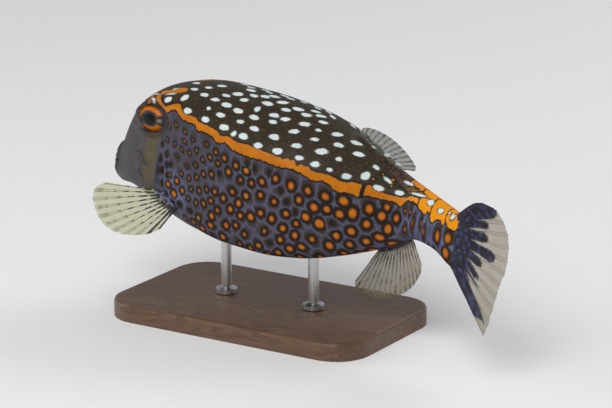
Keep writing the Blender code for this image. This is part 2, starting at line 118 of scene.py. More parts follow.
# Head
EYE_BACK = 21.1
EYE_STRETCH = 1.24  # the opening and the eye are longer than high
EYE_LEFT = 14.2
EYE_UP = 34.5
EYE_RADIUS = 4.85
EYE_DEPTH = 3.95  # of the eye's outer half
EYE_SLANT = 0.06  # the eye looks a little forward
ORBIT_REACH = 8.0
FRONT_LID_DROP = 2.3  # how much sooner the lid meets the face in front of the eye
LID_RADIUS = 4.95
LID_TOP = 17.65  # to the left of the middle
LID_GROOVE = 5.75  # from the middle of the eye
OPENING_RADIUS = 4.4
# Section of the lid: distance from the middle of the eye, and height over the lid's crest
LID_PROFILE = (
    (0, -2.3), (4.15, -2.3), (4.35, -1.3), (4.45, -0.5), (4.6, -0.15), (4.85, -0.05), (5.25, -0.25),
    (5.85, -0.65), (6.6, -0.9), (8.2, -1.2),
)
NOSTRIL_BACK = 13.5
NOSTRIL_UP = 31.0
MOUTH_UP = 13.2
GILL_BACK = 28.2
GILL_UP = 18.6
GILL_HALF_HEIGHT = 4.4
CREASES = (
    ((16.0, -15.6), (17.4, -16.0), (19.2, -17.9), (20.4, -20.0), (22.4, -21.4)),
    ((17.6, -22.6), (18.6, -24.2), (20.2, -25.6)),
)

# The shell ends in a rim, and behind it the skin is wrinkled
SHELL_RIM = (
    (88.5, 20.6), (90.9, 18.2), (94.7, 15.0), (97.1, 13.3), (100.9, 11.0), (103.9, 8.7), (106.2, 6.9),
    (109.0, 5.1), (112.0, 3.4),
)
WRINKLE_SPACING = 1.75
WRINKLE_HEIGHT = 0.17


# Shapes

def smooth_through(knots, values):
    """A smooth line through the values that doesn't overshoot between them."""
    knots, values = np.asarray(knots, float), np.asarray(values, float)
    step = np.diff(knots)
    rise = np.diff(values) / step
    same_way = rise[:-1] * rise[1:] > 0
    total = np.where(same_way, rise[:-1] + rise[1:], 1.0)
    slope = np.zeros(len(values))
    slope[1:-1] = np.where(same_way, 2 * rise[:-1] * rise[1:] / total, 0.0)
    slope[0], slope[-1] = rise[0], rise[-1]

    def value(at):
        at = np.clip(at, knots[0], knots[-1])
        i = np.clip(np.searchsorted(knots, at) - 1, 0, len(step) - 1)
        t = (at - knots[i]) / step[i]
        near = (1 + 2 * t) * values[i] + t * step[i] * slope[i]
        far = (3 - 2 * t) * values[i + 1] + (t - 1) * step[i] * slope[i + 1]
        return near * (1 - t) ** 2 + far * t**2

    return value


def line_through(points):
    """A smooth line through points given as pairs."""
    return smooth_through(*zip(*points))


def ramp(value, low, high):
    """0 below the low value, 1 above the high one, and a soft rise between them."""
    t = np.clip((np.asarray(value, float) - low) / (high - low), 0, 1)
    return t * t * (3 - 2 * t)


def hump(distance, width):
    """A soft rounded rise, 1 at no distance and little past the width."""
    return np.exp(-((distance / width) ** 2))


def wave(distance, length):
    """A sine wave of the given length."""
    return np.sin(distance / length * 2 * math.pi)


STATION, *LINES = (np.array(column) for column in zip(*FORM_LINES))
back_up, ridge_up, ridge_out, keel_up, keel_out, belly_up = (
    smooth_through(STATION, line) for line in LINES
)
TALLEST_FLANK = float(np.max(ridge_up(STATION) - keel_up(STATION)))
LID_SECTION = line_through(LID_PROFILE)


def sharp_outline(back):
    """Half a cross-section as (left, up) points from back to belly, its ridges still sharp."""
    ridge = np.array([ridge_out(back), ridge_up(back)])
    keel = np.array([keel_out(back), keel_up(back)])
    u = np.linspace(0, 1, BACK_STEPS, endpoint=False)
    arch = np.column_stack([ridge[0] * u, ridge[1] + (back_up(back) - ridge[1]) * (1 - u**2)])
    u = np.linspace(0, 1, SIDE_STEPS, endpoint=False)[:, None]
    draw = (SIDE_SWELL * u - SIDE_HOLLOW * (1 - u)) * 2 * np.sin(math.pi * u) ** 2
    draw = draw * (ridge[1] - keel[1]) / TALLEST_FLANK
    flank = ridge + (keel - ridge) * u + draw * [1, 0]
    u = np.linspace(0, 1, BELLY_STEPS + 1)
    floor_up = belly_up(back)
    belly = np.column_stack([keel[0] * (1 - u), floor_up + (keel[1] - floor_up) * (1 - u) ** 2])
    return np.concatenate([arch, flank, belly])


def outline(back):
    """A whole cross-section as a closed ring of (left, up) points, its ridges rounded."""
    half = sharp_outline(back)
    ring = np.concatenate([half, half[-2:0:-1] * [-1, 1]])
    spacing = np.linalg.norm(np.roll(ring, -1, 0) - ring, axis=1).mean()
    reach = np.fft.fftfreq(len(ring), 1 / len(ring))
    rounding = RIDGE_ROUNDING + MUZZLE_ROUNDING * (1 - ramp(back, 3.5, 9))
    weight = np.exp(-0.5 * (reach * spacing / rounding) ** 2)
    weight /= weight.sum()
    soft = np.fft.ifft(np.fft.fft(ring, axis=0) * np.fft.fft(weight)[:, None], axis=0).real
    grown = np.ptp(ring, axis=0) / np.ptp(soft, axis=0)
    return (soft - soft.min(0)) * grown + ring.min(0)


def bent(points):
    """Points given as (back, left, up), once the tail stalk has turned to the left."""
    back, left, up = np.asarray(points, float).T
    radius = (TAIL_BEND_END - SHELL_END) / TAIL_BEND
    angle = np.clip((back - SHELL_END) / radius, 0, TAIL_BEND)
    beyond = np.maximum(back - TAIL_BEND_END, 0)
    along = np.minimum(back, SHELL_END) + radius * np.sin(angle) + beyond * np.cos(angle)
    aside = radius * (1 - np.cos(angle)) + beyond * np.sin(angle)
    return np.column_stack([left * np.sin(angle) - along, aside + left * np.cos(angle), up])


HEAD_LEFT = Matrix.Rotation(math.pi, 3, "Z")
FISH_TURN = HEAD_LEFT @ Matrix.Rotation(-NOSE_UP, 3, "Y") @ Matrix.Rotation(LEFT_SIDE_UP, 3, "X")
FISH_PLACE = Vector((0, 0, BELLY_CLEARANCE)) + FISH_TURN @ Vector((BALANCE_POINT, 0, 0))


def to_world(points):
    """Places on the fish in millimetres, as points of the scene in metres."""
    turned = bent(points) @ np.array(FISH_TURN).T
    return (turned + np.array(FISH_PLACE)) * MM


def path_distance(back, above, path):
    """How far each place of the skin is from a line drawn through a few places."""
    nearest = np.full(np.shape(back), np.inf)
    for (b0, a0), (b1, a1) in zip(path, path[1:]):
        length = math.hypot(b1 - b0, a1 - a0)
        t = np.clip(((back - b0) * (b1 - b0) + (above - a0) * (a1 - a0)) / length**2, 0, 1)
        nearest = np.minimum(nearest, np.hypot(back - b0 - t * (b1 - b0), above - a0 - t * (a1 - a0)))
    return nearest


def grid_faces(rows, count, closed, first=0):
    """Faces between the rows of a grid of points, which may close into rings."""
    faces = []
    for row in range(rows - 1):
        for k in range(count if closed else count - 1):
            a = first + row * count + k
            b = first + row * count + (k + 1) % count
            faces.append((a, b, b + count, a + count))
    return faces


def add_piece(name, points, edges, faces, marks, material=None):
    """A piece in the scene, from places on the fish, with its marks as attributes."""
    mesh = bpy.data.meshes.new(name)
    mesh.from_pydata([tuple(point) for point in to_world(points).tolist()], edges, faces)
    for label, values in marks.items():
        attribute = mesh.attributes.new(label, "FLOAT", "POINT")
        attribute.data.foreach_set("value", np.ravel(values).astype(np.float32))
    if material:
        mesh.materials.append(material)
    piece = bpy.data.objects.new(name, mesh)
    bpy.context.scene.collection.objects.link(piece)
    return piece


def add_skin(name, points, faces, marks, material):
    """A smooth closed piece, with every face turned outwards."""
    piece = add_piece(name, points, [], faces, marks, material)
    piece.data.shade_smooth()
    work = bmesh.new()
    work.from_mesh(piece.data)
    bmesh.ops.recalc_face_normals(work, faces=work.faces)
    work.to_mesh(piece.data)
    work.free()
    return piece


# Markings of the skin

# Orange band along the upper ridge: how far back, and how far its foot lies over the ridge
BAND_FOOT = (
    (28.0, -1.9), (29.1, -1.4), (30.3, -0.5), (31.8, 0.5), (33.3, 0.1), (34.6, -0.5), (36.1, -1.0),
    (39.4, -0.6), (41.1, -0.2), (42.6, -1.6), (45.8, -1.1), (48.4, -1.2), (51.0, -2.3), (54.0, -1.1),
    (56.9, -2.2), (60.3, -2.3), (64.3, -2.1), (68.0, -1.6), (74.0, -1.7), (78.0, -1.1), (81.8, -1.6),
    (85.3, -2.5), (88.5, -1.4), (90.5, -1.9), (92.7, -3.0), (96.0, -2.1), (99.0, -2.4), (101.0, -1.2),
    (105.0, -1.0), (108.5, -0.8), (110.0, -0.8), (111.4, -1.8), (112.7, -0.6), (113.8, 0.9), (116.6, 0.9),
    (118.0, 0.0), (119.5, -0.6), (121.4, -1.2), (122.8, 0.1), (123.6, -0.8), (124.6, -2.7), (125.5, -2.6),
    (126.6, -1.5), (128.6, -0.5), (130.4, -1.7), (131.8, -0.4), (133.2, -1.5), (134.6, -1.9), (135.7, -0.9),
)
# The same of its upper edge
BAND_TOP = (
    (28.0, -0.4), (29.0, 0.3), (29.8, 1.4), (30.8, 2.3), (32.7, 2.9), (34.0, 1.7), (36.0, 0.9), (38.0, 1.2),
    (40.2, 1.7), (42.6, 0.9), (46.4, 1.1), (49.2, 1.0), (51.8, 0.2), (54.1, 1.0), (57.9, 0.6), (62.0, 1.2),
    (70.0, 1.2), (74.0, 1.1), (77.1, 1.7), (79.4, 0.6), (82.3, 1.1), (84.6, 0.2), (87.1, 0.5), (90.0, 0.9),
    (93.5, 0.5), (97.0, 1.6), (99.0, 1.5), (101.5, 2.2), (104.0, 0.9), (110.0, 0.9), (112.7, 1.4),
    (114.5, 2.3), (117.4, 2.5), (118.6, 4.0), (119.6, 9.0),
)
BAND_START = 29.0
BAND_BREAK = 99.6
BREAK_HALF_WIDTH = 0.6
BAND_LOWEST = 20  # below the ridge nothing of it is drawn past here
FRINGE_BACK = 79  # its upper edge is finely notched here
STALK_CREST = (111, 119.5)  # orange along the middle of the back, from here to here
CREST_HALF_WIDTH = 1.7
STALK_BLOCK_ENDS = (117.9, 123.7, 131.0)
BLOCK_GAP = 0.3
BLOCK_SLANT = 0.25
HOOK_PATH = (
    (30.8, 1.2), (29.3, 0.0), (28.0, -0.9), (26.2, -0.4), (24.4, 0.4), (23.2, 1.6), (22.1, 3.0), (21.7, 4.6),
    (22.2, 6.4), (24.0, 7.7), (26.3, 8.9), (28.0, 10.1),
)
HOOK_HALF_WIDTH = 0.85
HOOK_GROWTH = 1.0  # how much wider its upper end is, to each side
# On the right side the hook curls on over the crown
CROWN_PATH = ((28.0, 10.1), (30.8, 11.6), (32.6, 14.2), (31.4, 16.6), (29.0, 18.4), (26.4, 20.0))
CROWN_HALF_WIDTH = 1.8
BROW_PATH = ((20.0, 0.6), (19.1, 2.0), (18.5, 3.8), (18.4, 6.0))
BROW_HALF_WIDTH = 0.85
EYE_BRANCH = ((28.1, -0.9), (28.6, -2.9))
BRANCH_HALF_WIDTH = 0.5
ORANGE_FLECKS = (
    (101.2, 4.5, 0.4), (102.8, 7.1, 0.35), (106.2, 6.2, 0.55), (106.8, 3.8, 0.35), (41.2, 5.6, 0.3),
)

# Rows of white spots: above the ridge, and how far back each one is
WHITE_ROWS = (
    (2.7, (36.8, 43.5, 51.0, 59.2, 65.0, 72.0, 79.0, 84.8, 94.0)),
    (7.3, (48.0, 54.5, 61.2, 68.5, 76.0, 83.5)),
    (11.9, (31.0, 36.2, 41.4, 46.6, 52.5, 58.7, 65.5, 73.0, 80.5, 87.5, 94.2)),
    (15.9, (28.3, 34.0, 43.6, 50.4, 62.2, 68.4, 74.6, 84.2, 90.4)),
    (19.6, (38.4, 46.4, 52.6, 58.6, 65.4, 72.0, 79.4)),
    (22.9, (42.5, 49.0, 55.6, 62.0, 68.6, 76.4, 84.0)),
    (26.0, (51.0, 58.4, 65.2, 72.0)),
)
WHITE_HALF_LENGTH = 1.62
WHITE_HALF_HEIGHT = 0.98
WHITE_TILT = 0.28
WHITE_ROOM = 2.9  # a spot of a row is left out when another is nearer
MID_BACK_ROOM = 0.9
RIGHT_WHITE_SHIFT = 3.1  # on the right side the rows start farther back
# Single white spots: back, above, half length, half height, and the tilt of some
WHITE_SPOTS = (
    (26.9, 3.0, 1.35, 1.4), (31.9, 6.4, 1.2, 1.9), (25.6, 6.1, 2.1, 0.42, 0.5), (24.3, 10.0, 1.7, 0.42, 0.7),
    (20.0, 4.6, 2.1, 0.34), (21.3, 0.9, 1.4, 0.62, 2.2), (16.2, 1.5, 0.6, 0.5), (42.3, 7.0, 0.8, 0.7),
    (55.4, 2.6, 0.75, 1.1), (89.0, 2.6, 0.8, 0.6), (89.8, 7.2, 0.9, 0.75), (57.0, 15.0, 0.9, 1.5),
    (79.2, 15.2, 0.9, 0.7), (98.8, 4.8, 1.2, 1.5), (100.2, 8.8, 1.3, 0.65, -0.5), (103.6, 2.1, 1.5, 0.9),
    (104.9, 5.5, 1.5, 0.6, -0.5), (109.9, 2.4, 1.5, 0.85), (110.9, 6.6, 1.6, 0.7, -0.2),
    (116.4, 3.6, 2.3, 0.5, 0.1), (121.7, 2.9, 1.2, 1.1), (127.2, 1.9, 1.2, 0.85), (131.1, 2.8, 0.55, 0.35),
    (133.2, 2.1, 0.75, 1.1),
)

# Rows of ringed orange spots: below the ridge, and how far back each one is
ORANGE_ROWS = (
    (2.9, (107.5,)),
    (4.6, (33.2, 37.6, 46.6)),
    (5.6, (30.4, 41.3, 50.4, 94.8, 102.6)),
    (6.2, (54.2, 58.9, 74.0, 79.0, 84.5, 89.7, 106.6, 111.3)),
    (8.2, (37.8, 43.2, 49.4, 69.0, 98.5)),
    (10.4, (30.6, 40.4, 46.0, 56.0, 61.2, 65.6, 82.0, 87.2, 94.5, 102.6, 109.4)),
    (13.2, (35.6, 43.6, 50.4, 69.7, 74.4, 98.8, 106.9)),
    (15.2, (40.6, 47.1, 59.4, 64.4, 78.8, 85.5, 90.2, 110.3)),
    (16.6, (45.2, 94.6, 103.2)),
    (18.4, (38.4, 49.9, 55.6, 71.0, 75.4, 82.4, 98.8)),
    (20.6, (46.2, 59.8, 67.2, 88.4, 93.4)),
    (24.2, (42.3, 49.2, 54.6, 73.0, 78.6, 85.2)),
    (26.6, (59.6, 66.2, 90.6)),
    (29.2, (47.6, 53.0, 71.6, 78.0, 84.6)),
    (31.4, (58.0, 64.6)),
)
ORANGE_RADIUS = 0.85
ORANGE_RING = 1.05  # width of the dark ring round it
RIGHT_ORANGE_SHIFT = 2.4
# Near the pectoral fin: back, above and radius of the orange, and the width of the ring round it
EYED_SPOTS = (
    (33.2, -24.6, 0.85), (36.2, -26.6, 1.15), (36.9, -21.6, 0.85), (39.8, -23.6, 0.8), (39.0, -28.8, -0.4),
)
EYED_RING = 0.75
NET_REACH = 1.9
FRONT_END = 55  # behind the face, as far as here, the spots are small and dull
FRONT_SPACING = 3.9
FILL_SPACING = 4.7  # of the spots farther back that no row above holds
# Ground that is filled with more spots: its start and end, their spacing, and that of their rows
FILLED_PARTS = ((33.6, FRONT_END, FRONT_SPACING, 3.5), (FRONT_END, 112, FILL_SPACING, 4.4))
# On the stalk: narrow spots and tall ones, as back, above and how tall
NARROW_SPOTS = (
    (113.8, -2.6, 1.2), (115.8, -2.6, 1.6), (117.3, -5.6, 2.3), (121.0, -4.6, 2.0), (122.4, -7.0, 2.4),
    (114.8, -8.6, 1.6),
)
STALK_SPOTS = (
    (129.0, -6.0, 1.75), (133.6, -4.9, 1.6), (133.4, -9.9, 1.7), (127.6, -12.0, 1.1), (124.4, -12.4, 1.1),
)
DARK_CELLS = (
    (28.3, -12.4), (28.4, -17.2), (30.9, -15.2), (29.4, -21.4), (31.6, -18.6), (30.2, -25.4), (32.2, -29.0),
    (32.4, -21.8), (34.6, -30.6), (63.0, -4.6), (66.0, -5.1), (71.2, -4.6), (81.8, -14.4),
)
# Where the grey face ends: above, and how far back
FACE_EDGE = (
    (-50, 27.5), (-34, 28.0), (-26, 27.2), (-20, 26.9), (-13, 27.4), (-9, 25.6), (-6, 24), (-2, 17.5),
    (2, 15), (8, 13), (18, 10.5),
)


def nearest_room(place, others):
    """How far the nearest of the others is from a place."""
    return min(math.hypot(place[0] - other[0], place[1] - other[1]) for other in others)


def white_spot_list(mid_above, side, draw):
    """The white spots of one half of the back, as (back, above, half length, half height, tilt)."""
    spots = [(*spot, 0.0)[:5] for spot in WHITE_SPOTS]
    shift = 0.0 if side > 0 else RIGHT_WHITE_SHIFT
    for above, row in WHITE_ROWS:
        loose = 0.25 + 0.03 * above
        tall = 1.12 if above < 4 else 0.96
        for back in row:
            place = (back + shift + loose * draw.standard_normal(), above + loose * draw.standard_normal())
            size = np.clip(1 + 0.12 * draw.standard_normal(), 0.8, 1.2)
            clear_of_middle = place[1] < mid_above(place[0]) - MID_BACK_ROOM
            if clear_of_middle and nearest_room(place, spots) > WHITE_ROOM:
                tilt = WHITE_TILT + 0.12 * draw.standard_normal()
                spots.append((*place, WHITE_HALF_LENGTH * size, WHITE_HALF_HEIGHT * size * tall, tilt))
    return spots


def white_distance(back, above, spots):
    """How far inside the nearest white spot each place is."""
    inside = np.full(back.shape, FAR_OFF)
    for b, a, length, height, tilt in spots:
        near = (np.abs(back - b) < 5) & (np.abs(above - a) < 5)
        along = (back[near] - b) * math.cos(tilt) + (above[near] - a) * math.sin(tilt)
        across = (above[near] - a) * math.cos(tilt) - (back[near] - b) * math.sin(tilt)
        depth = (1 - np.hypot(along / length, across / height)) * min(length, height)
        inside[near] = np.maximum(inside[near], depth)
    return inside


def liveliness(back, below):
    """How bright the orange spots are: dull behind the face, bright towards the tail and the keel."""
    return ramp(back + 0.5 * np.clip(below - 19, 0, 12) - 2.0 * ramp(-below, -6, -4), 40, 60)


def spot_room(backs, front, farther):
    """The spacing of spots at these places, as a share of that behind the face and farther back."""
    return np.where(backs < FRONT_END, front * FRONT_SPACING, farther * FILL_SPACING)


def pushed_apart(places, others, own, wanted, strength):
    """How each place moves away from the others that are too near; its own entry is left out."""
    gap = places[:, None] - others[None]
    far = np.hypot(gap[..., 0], gap[..., 1])
    far[np.arange(len(places)), own + np.arange(len(places))] = 99
    push = np.clip(wanted[:, None] - far, 0, None) / far
    return strength * (gap * push[..., None]).sum(1)


def filled_in(listed, draw):
    """The listed places, and others set evenly where those leave room."""
    fresh = []
    for first, last, spacing, row_gap in FILLED_PARTS:
        for number, below in enumerate(np.arange(4.2, 41, row_gap)):
            for back in np.arange(first + (number % 2) * spacing / 2, last, spacing):
                fresh.append((back + 0.4 * draw.standard_normal(), -below + 0.3 * draw.standard_normal()))
    fresh = np.array(fresh)
    for _ in range(6):
        everything = np.concatenate([listed, fresh])
        room = spot_room(fresh[:, 0], 1, 1)
        fresh = fresh + pushed_apart(fresh, everything, len(listed), 0.95 * room, 0.2)
    kept = list(listed)
    for place, wanted in zip(fresh, room):
        clear_of_band = -place[1] > (5.6 if place[0] > 52 else 4.0)
        if nearest_room(place, kept) > 0.71 * wanted and place[0] < 111 and clear_of_band:
            kept.append(place)
    return spaced_out(np.array(kept))


def spaced_out(places):
    """The places, each moved a little away from those that are too close to it."""
    for _ in range(5):
        step = pushed_apart(places, places, 0, spot_room(places[:, 0], 0.9, 0.86), 0.25)
        step[: len(EYED_SPOTS)] = 0
        step[:, 1] *= places[:, 1] < -6.5
        places = places + step
    return places


def flank_spot_list(side, draw):
    """The ringed spots of one flank, as rows of (back, above, width, height, orange radius, ring radius)."""
    shift, loose = (0.0, 0.25) if side > 0 else (RIGHT_ORANGE_SHIFT, 0.8)
    listed = [(back, above) for back, above, _ in EYED_SPOTS]
    for below, row in ORANGE_ROWS:
        for back in row:
            place = (back + shift + loose * draw.standard_normal(), -below + 0.3 * draw.standard_normal())
            listed.append(place)
    spots = []
    for number, (back, above) in enumerate(filled_in(np.array(listed), draw)):
        lively = float(liveliness(back, -above))
        size = np.clip(1 + 0.13 * draw.standard_normal(), 0.75, 1.3)
        growth = 1 + 0.26 * float(ramp(back, 70, 92))
        orange = ORANGE_RADIUS * (0.5 + 0.5 * lively) * growth * size
        ring = orange + ORANGE_RING * (0.62 + 0.38 * lively)
        if number >= len(listed) and draw.random() < 0.22:
            orange, ring = -0.5, 1.1
        if number < len(EYED_SPOTS):
            orange = EYED_SPOTS[number][2]
            ring = abs(orange) + EYED_RING
        wide = 1 + 0.06 * draw.standard_normal()
        tall = 1 + 0.28 * float(ramp(back, 68, 82) * (1 - ramp(-above, 8, 13)))
        spots.append((back, above, wide, tall / wide, orange, ring))
    spots += [(back, above, 0.62, height, 0.6, 1.05) for back, above, height in NARROW_SPOTS]
    spots += [(back, above, 0.9, height, 1.05, 1.7) for back, above, height in STALK_SPOTS]
    spots += [(back, above, 0.85, 1.2, -0.2, 1.1) for back, above in DARK_CELLS]
    return np.array(spots)


def flank_distances(back, above, spots):
    """Distances inside the nearest orange spot and ring, and shares of the net and its threads."""
    orange, ring, net, thread = (np.zeros(back.shape) for _ in range(4))
    for start in range(0, len(back), 8000):
        part = slice(start, start + 8000)
        b, a = back[part][:, None], above[part][:, None]
        far = np.hypot((b - spots[:, 0]) / spots[:, 2], (a - spots[:, 1]) / spots[:, 3])
        order = np.argpartition(far, 1, axis=1)[:, :2]
        two = np.take_along_axis(far, order, 1)
        first = order[np.arange(len(two)), two.argmin(1)]
        nearest, second = two.min(1), two.max(1)
        orange[part] = spots[first, 4] - nearest
        ring[part] = spots[first, 5] - nearest
        between = np.clip(1 - (second - nearest) / NET_REACH, 0, 1)
        open_ground = ramp(-ring[part], 0.3, 1.2) * (1 - 0.3 * ramp(back[part], 107, 113))
        net[part] = np.maximum(between, 0.95 * open_ground)
        thread[part] = ramp(between, 0.66, 0.9)
    return orange, ring, net, thread


def band_distance(back, above, side, mid_above):
    """How far inside the orange band, its hook and the stalk's orange blocks each place is."""
    waver = 0.13 * wave(back, 2.3) + 0.1 * wave(back, 1.37)
    fringe = 0.5 * hump(back - FRINGE_BACK, 4.5) * wave(back, 0.66)
    foot = line_through(BAND_FOOT)(back) + waver
    top = line_through(BAND_TOP)(back) - 0.5 * waver + fringe
    band = np.minimum.reduce([above - foot, top - above, back - BAND_START])
    band = np.minimum(band, np.abs(back - BAND_BREAK) - BREAK_HALF_WIDTH)
    crest = above - mid_above(back) + CREST_HALF_WIDTH + 2 * waver
    crest = np.minimum.reduce([crest, back - STALK_CREST[0], STALK_CREST[1] - back])
    band = np.maximum(band, crest)
    for end in STALK_BLOCK_ENDS:
        band = np.minimum(band, np.abs(back - end + BLOCK_SLANT * above) - BLOCK_GAP)
    hook = HOOK_HALF_WIDTH + HOOK_GROWTH * ramp(above, 5.0, 7.5) - path_distance(back, above, HOOK_PATH)
    crown = np.where(side < 0, CROWN_HALF_WIDTH - path_distance(back, above, CROWN_PATH), FAR_OFF)
    brow = BROW_HALF_WIDTH - path_distance(back, above, BROW_PATH)
    branch = BRANCH_HALF_WIDTH - path_distance(back, above, EYE_BRANCH)
    flecks = [size - np.hypot(back - b, above - a) for b, a, size in ORANGE_FLECKS]
    band = np.maximum.reduce([band, hook, crown, brow, branch, *flecks])
    return np.where(above < -BAND_LOWEST, FAR_OFF, band)


# Nodes

def put(tree, kind, inputs=None, **settings):
    """Adds a node, with its settings, and its inputs as values or links."""
    node = tree.nodes.new(kind)
    for name, value in settings.items():
        setattr(node, name, value)
    for name, value in (inputs or {}).items():
        if isinstance(value, bpy.types.NodeSocket):
            tree.links.new(value, node.inputs[name])
        else:
            node.inputs[name].default_value = value
    return node


class Nodes:
    """Short ways to add nodes to a tree."""

    def __init__(self, tree, place=None):
        self.tree = tree
        self.place = place

    def maths(self, operation, a, b=0.0):
        return put(self.tree, "ShaderNodeMath", {0: a, 1: b}, operation=operation).outputs[0]

    def plus(self, a, b):
        return self.maths("ADD", a, b)

    def minus(self, a, b):
        return self.maths("SUBTRACT", a, b)

    def times(self, a, b):
        return self.maths("MULTIPLY", a, b)

    def mark(self, name):
        """The value of one of the piece's marks."""
        return put(self.tree, "ShaderNodeAttribute", attribute_name=name).outputs["Fac"]

    def noise(self, scale, detail, place=None):
        """Soft uneven values over the surface."""
        given = {"Vector": self.place if place is None else place, "Scale": scale, "Detail": detail}
        return put(self.tree, "ShaderNodeTexNoise", given).outputs[0]

    def drawn_out(self, shares):
        """Places shortened along the axes, so that a pattern on them is drawn out."""
        return put(self.tree, "ShaderNodeMapping", {"Vector": self.place, "Scale": shares}).outputs[0]

    def rise(self, value, low, high, least=0.0, way="SMOOTHSTEP"):
        """The value as a share: the least at low, and 1 at high."""
        spread = {"Value": value, "From Min": low, "From Max": high, "To Min": least}
        return put(self.tree, "ShaderNodeMapRange", spread, interpolation_type=way).outputs[0]

    def meshes(self, scale, clear, full):
        """A fine net: none of it from the clear distance on, and all of it within the full one."""
        given = {"Vector": self.place, "Scale": scale}
        cells = put(self.tree, "ShaderNodeTexVoronoi", given, feature="DISTANCE_TO_EDGE")
        return self.rise(cells.outputs["Distance"], clear, full)

    def blended(self, share, a, b):
        """Colour a turned into colour b by the share."""
        a, b = ((*colour, 1.0) if isinstance(colour, tuple) else colour for colour in (a, b))
        return put(self.tree, "ShaderNodeMix", {0: share, 6: a, 7: b}, data_type="RGBA").outputs[2]

    def edge(self, distance, softness, wander, size=1.5):
        """The mask of a painted edge."""
        given = {"Distance": distance, "Softness": softness, "Wander": wander, "Wander Size": size}
        given["Place"] = self.place
        return put(self.tree, "ShaderNodeGroup", given, node_tree=PAINTED_EDGE).outputs["Mask"]


class Finish(Nodes):
    """A new material, and short ways to build it."""

    def __init__(self, name, **values):
        self.material = bpy.data.materials.new(name)
        self.material.use_nodes = True
        tree = self.material.node_tree
        self.shader = tree.nodes["Principled BSDF"]
        for label, value in values.items():
            self.shader.inputs[label.replace("_", " ")].default_value = value
        super().__init__(tree, put(tree, "ShaderNodeTexCoord").outputs["Object"])

    def wire(self, label, value):
        """Links a value to the shader."""
        self.tree.links.new(value, self.shader.inputs[label])

    def relief(self, height, depth, strength):
        """Gives the surface a relief, its depth in millimetres."""
        given = {"Strength": strength, "Distance": depth * MM, "Height": height}
        self.wire("Normal", put(self.tree, "ShaderNodeBump", given).outputs[0])

    def grain(self, size):
        """Height and mottling of a fine grain."""
        given = {"Place": self.place, "Size": size}
        outputs = put(self.tree, "ShaderNodeGroup", given, node_tree=FINE_GRAIN).outputs
        return outputs["Height"], outputs["Mottle"]


def new_group(name, inputs, outputs, kind="ShaderNodeTree"):
    """An empty node group with its sockets."""
    group = bpy.data.node_groups.new(name, kind)
    for label, socket_kind, value in inputs:
        socket = group.interface.new_socket(label, in_out="INPUT", socket_type=socket_kind)
        if value is not None:
            socket.default_value = value
    for label, socket_kind in outputs:
        group.interface.new_socket(label, in_out="OUTPUT", socket_type=socket_kind)
    return group, put(group, "NodeGroupInput").outputs, put(group, "NodeGroupOutput").inputs


def make_painted_edge():
    """A mask with a soft, slightly unsteady edge where a distance in millimetres passes nought."""
    group, given, result = new_group(
        "painted_edge",
        (
            ("Distance", "NodeSocketFloat", 0.0),
            ("Softness", "NodeSocketFloat", 0.15),
            ("Wander", "NodeSocketFloat", 0.2),
            ("Wander Size", "NodeSocketFloat", 1.5),
            ("Place", "NodeSocketVector", None),
        ),
        (("Mask", "NodeSocketFloat"),),
    )
    nodes = Nodes(group, given["Place"])
    scale = nodes.maths("DIVIDE", 1000.0, given["Wander Size"])
    swing = nodes.times(nodes.minus(nodes.noise(scale, 2.0), 0.5), given["Wander"])
    moved = nodes.plus(given["Distance"], nodes.times(swing, 2.0))
    mask = nodes.rise(moved, nodes.times(given["Softness"], -1.0), given["Softness"])
    group.links.new(mask, result["Mask"])
    return group


def make_fine_grain():
    """Soft mottling and fine roughness of a surface, at a size given in millimetres."""
    group, given, result = new_group(
        "fine_grain",
        (("Place", "NodeSocketVector", None), ("Size", "NodeSocketFloat", 0.5)),
        (("Height", "NodeSocketFloat"), ("Mottle", "NodeSocketFloat")),
    )
    nodes = Nodes(group, given["Place"])
    scale = nodes.maths("DIVIDE", 1000.0, given["Size"])
    cells = put(group, "ShaderNodeTexVoronoi", {"Vector": nodes.place, "Scale": scale}, feature="SMOOTH_F1")
    height = nodes.plus(nodes.times(cells.outputs["Distance"], 0.6), nodes.noise(scale, 4.0))
    group.links.new(height, result["Height"])
    group.links.new(nodes.noise(nodes.times(scale, 0.12), 3.0), result["Mottle"])
    return group


PAINTED_EDGE = make_painted_edge()
FINE_GRAIN = make_fine_grain()


# The skin

def body_grid():
    """The plain body as a grid of points, each one's place on the skin, and how high the mid-back is."""
    far = np.linspace(FINE_LENGTH, SKIN_LENGTH, round((SKIN_LENGTH - FINE_LENGTH) / BODY_STEP) + 1)
    backs = np.concatenate([np.arange(0, FINE_LENGTH, FINE_STEP), far])
    rings = soften_along(backs, np.array([outline(back) for back in backs]))
    rings[:, :, 0] *= 1 - 0.5 * ramp(backs, 132.8, SKIN_LENGTH)[:, None]
    half = rings[:, : HALF_RING + 1]
    run = np.cumsum(np.linalg.norm(np.diff(half, axis=1), axis=2), axis=1)
    run = np.column_stack([np.zeros(len(backs)), run])
    mid = run[:, BACK_STEPS]
    above = mid[:, None] - run
    above = np.concatenate([above, above[:, -2:0:-1]], axis=1)
    back = np.repeat(backs[:, None], above.shape[1], axis=1)
    return np.dstack([back, rings]), back, above, smooth_through(backs, mid)


def soften_along(backs, rings):
    """Evens out the form along the body, but not at the lips and at the end of the stalk."""
    reach = FORM_SOFTNESS * ramp(backs, 4.2, 9.0) * ramp(SKIN_LENGTH - backs, 0.0, 4.0) + 1e-3
    weight = np.exp(-0.5 * ((backs[:, None] - backs[None]) / reach[:, None]) ** 2)
    weight *= np.gradient(backs)[None]
    weight /= weight.sum(1, keepdims=True)
    soft = np.tensordot(weight, rings, 1)
    slope = np.gradient(soft, backs, axis=0)
    return soft - slope * (weight @ backs - backs)[:, None, None]


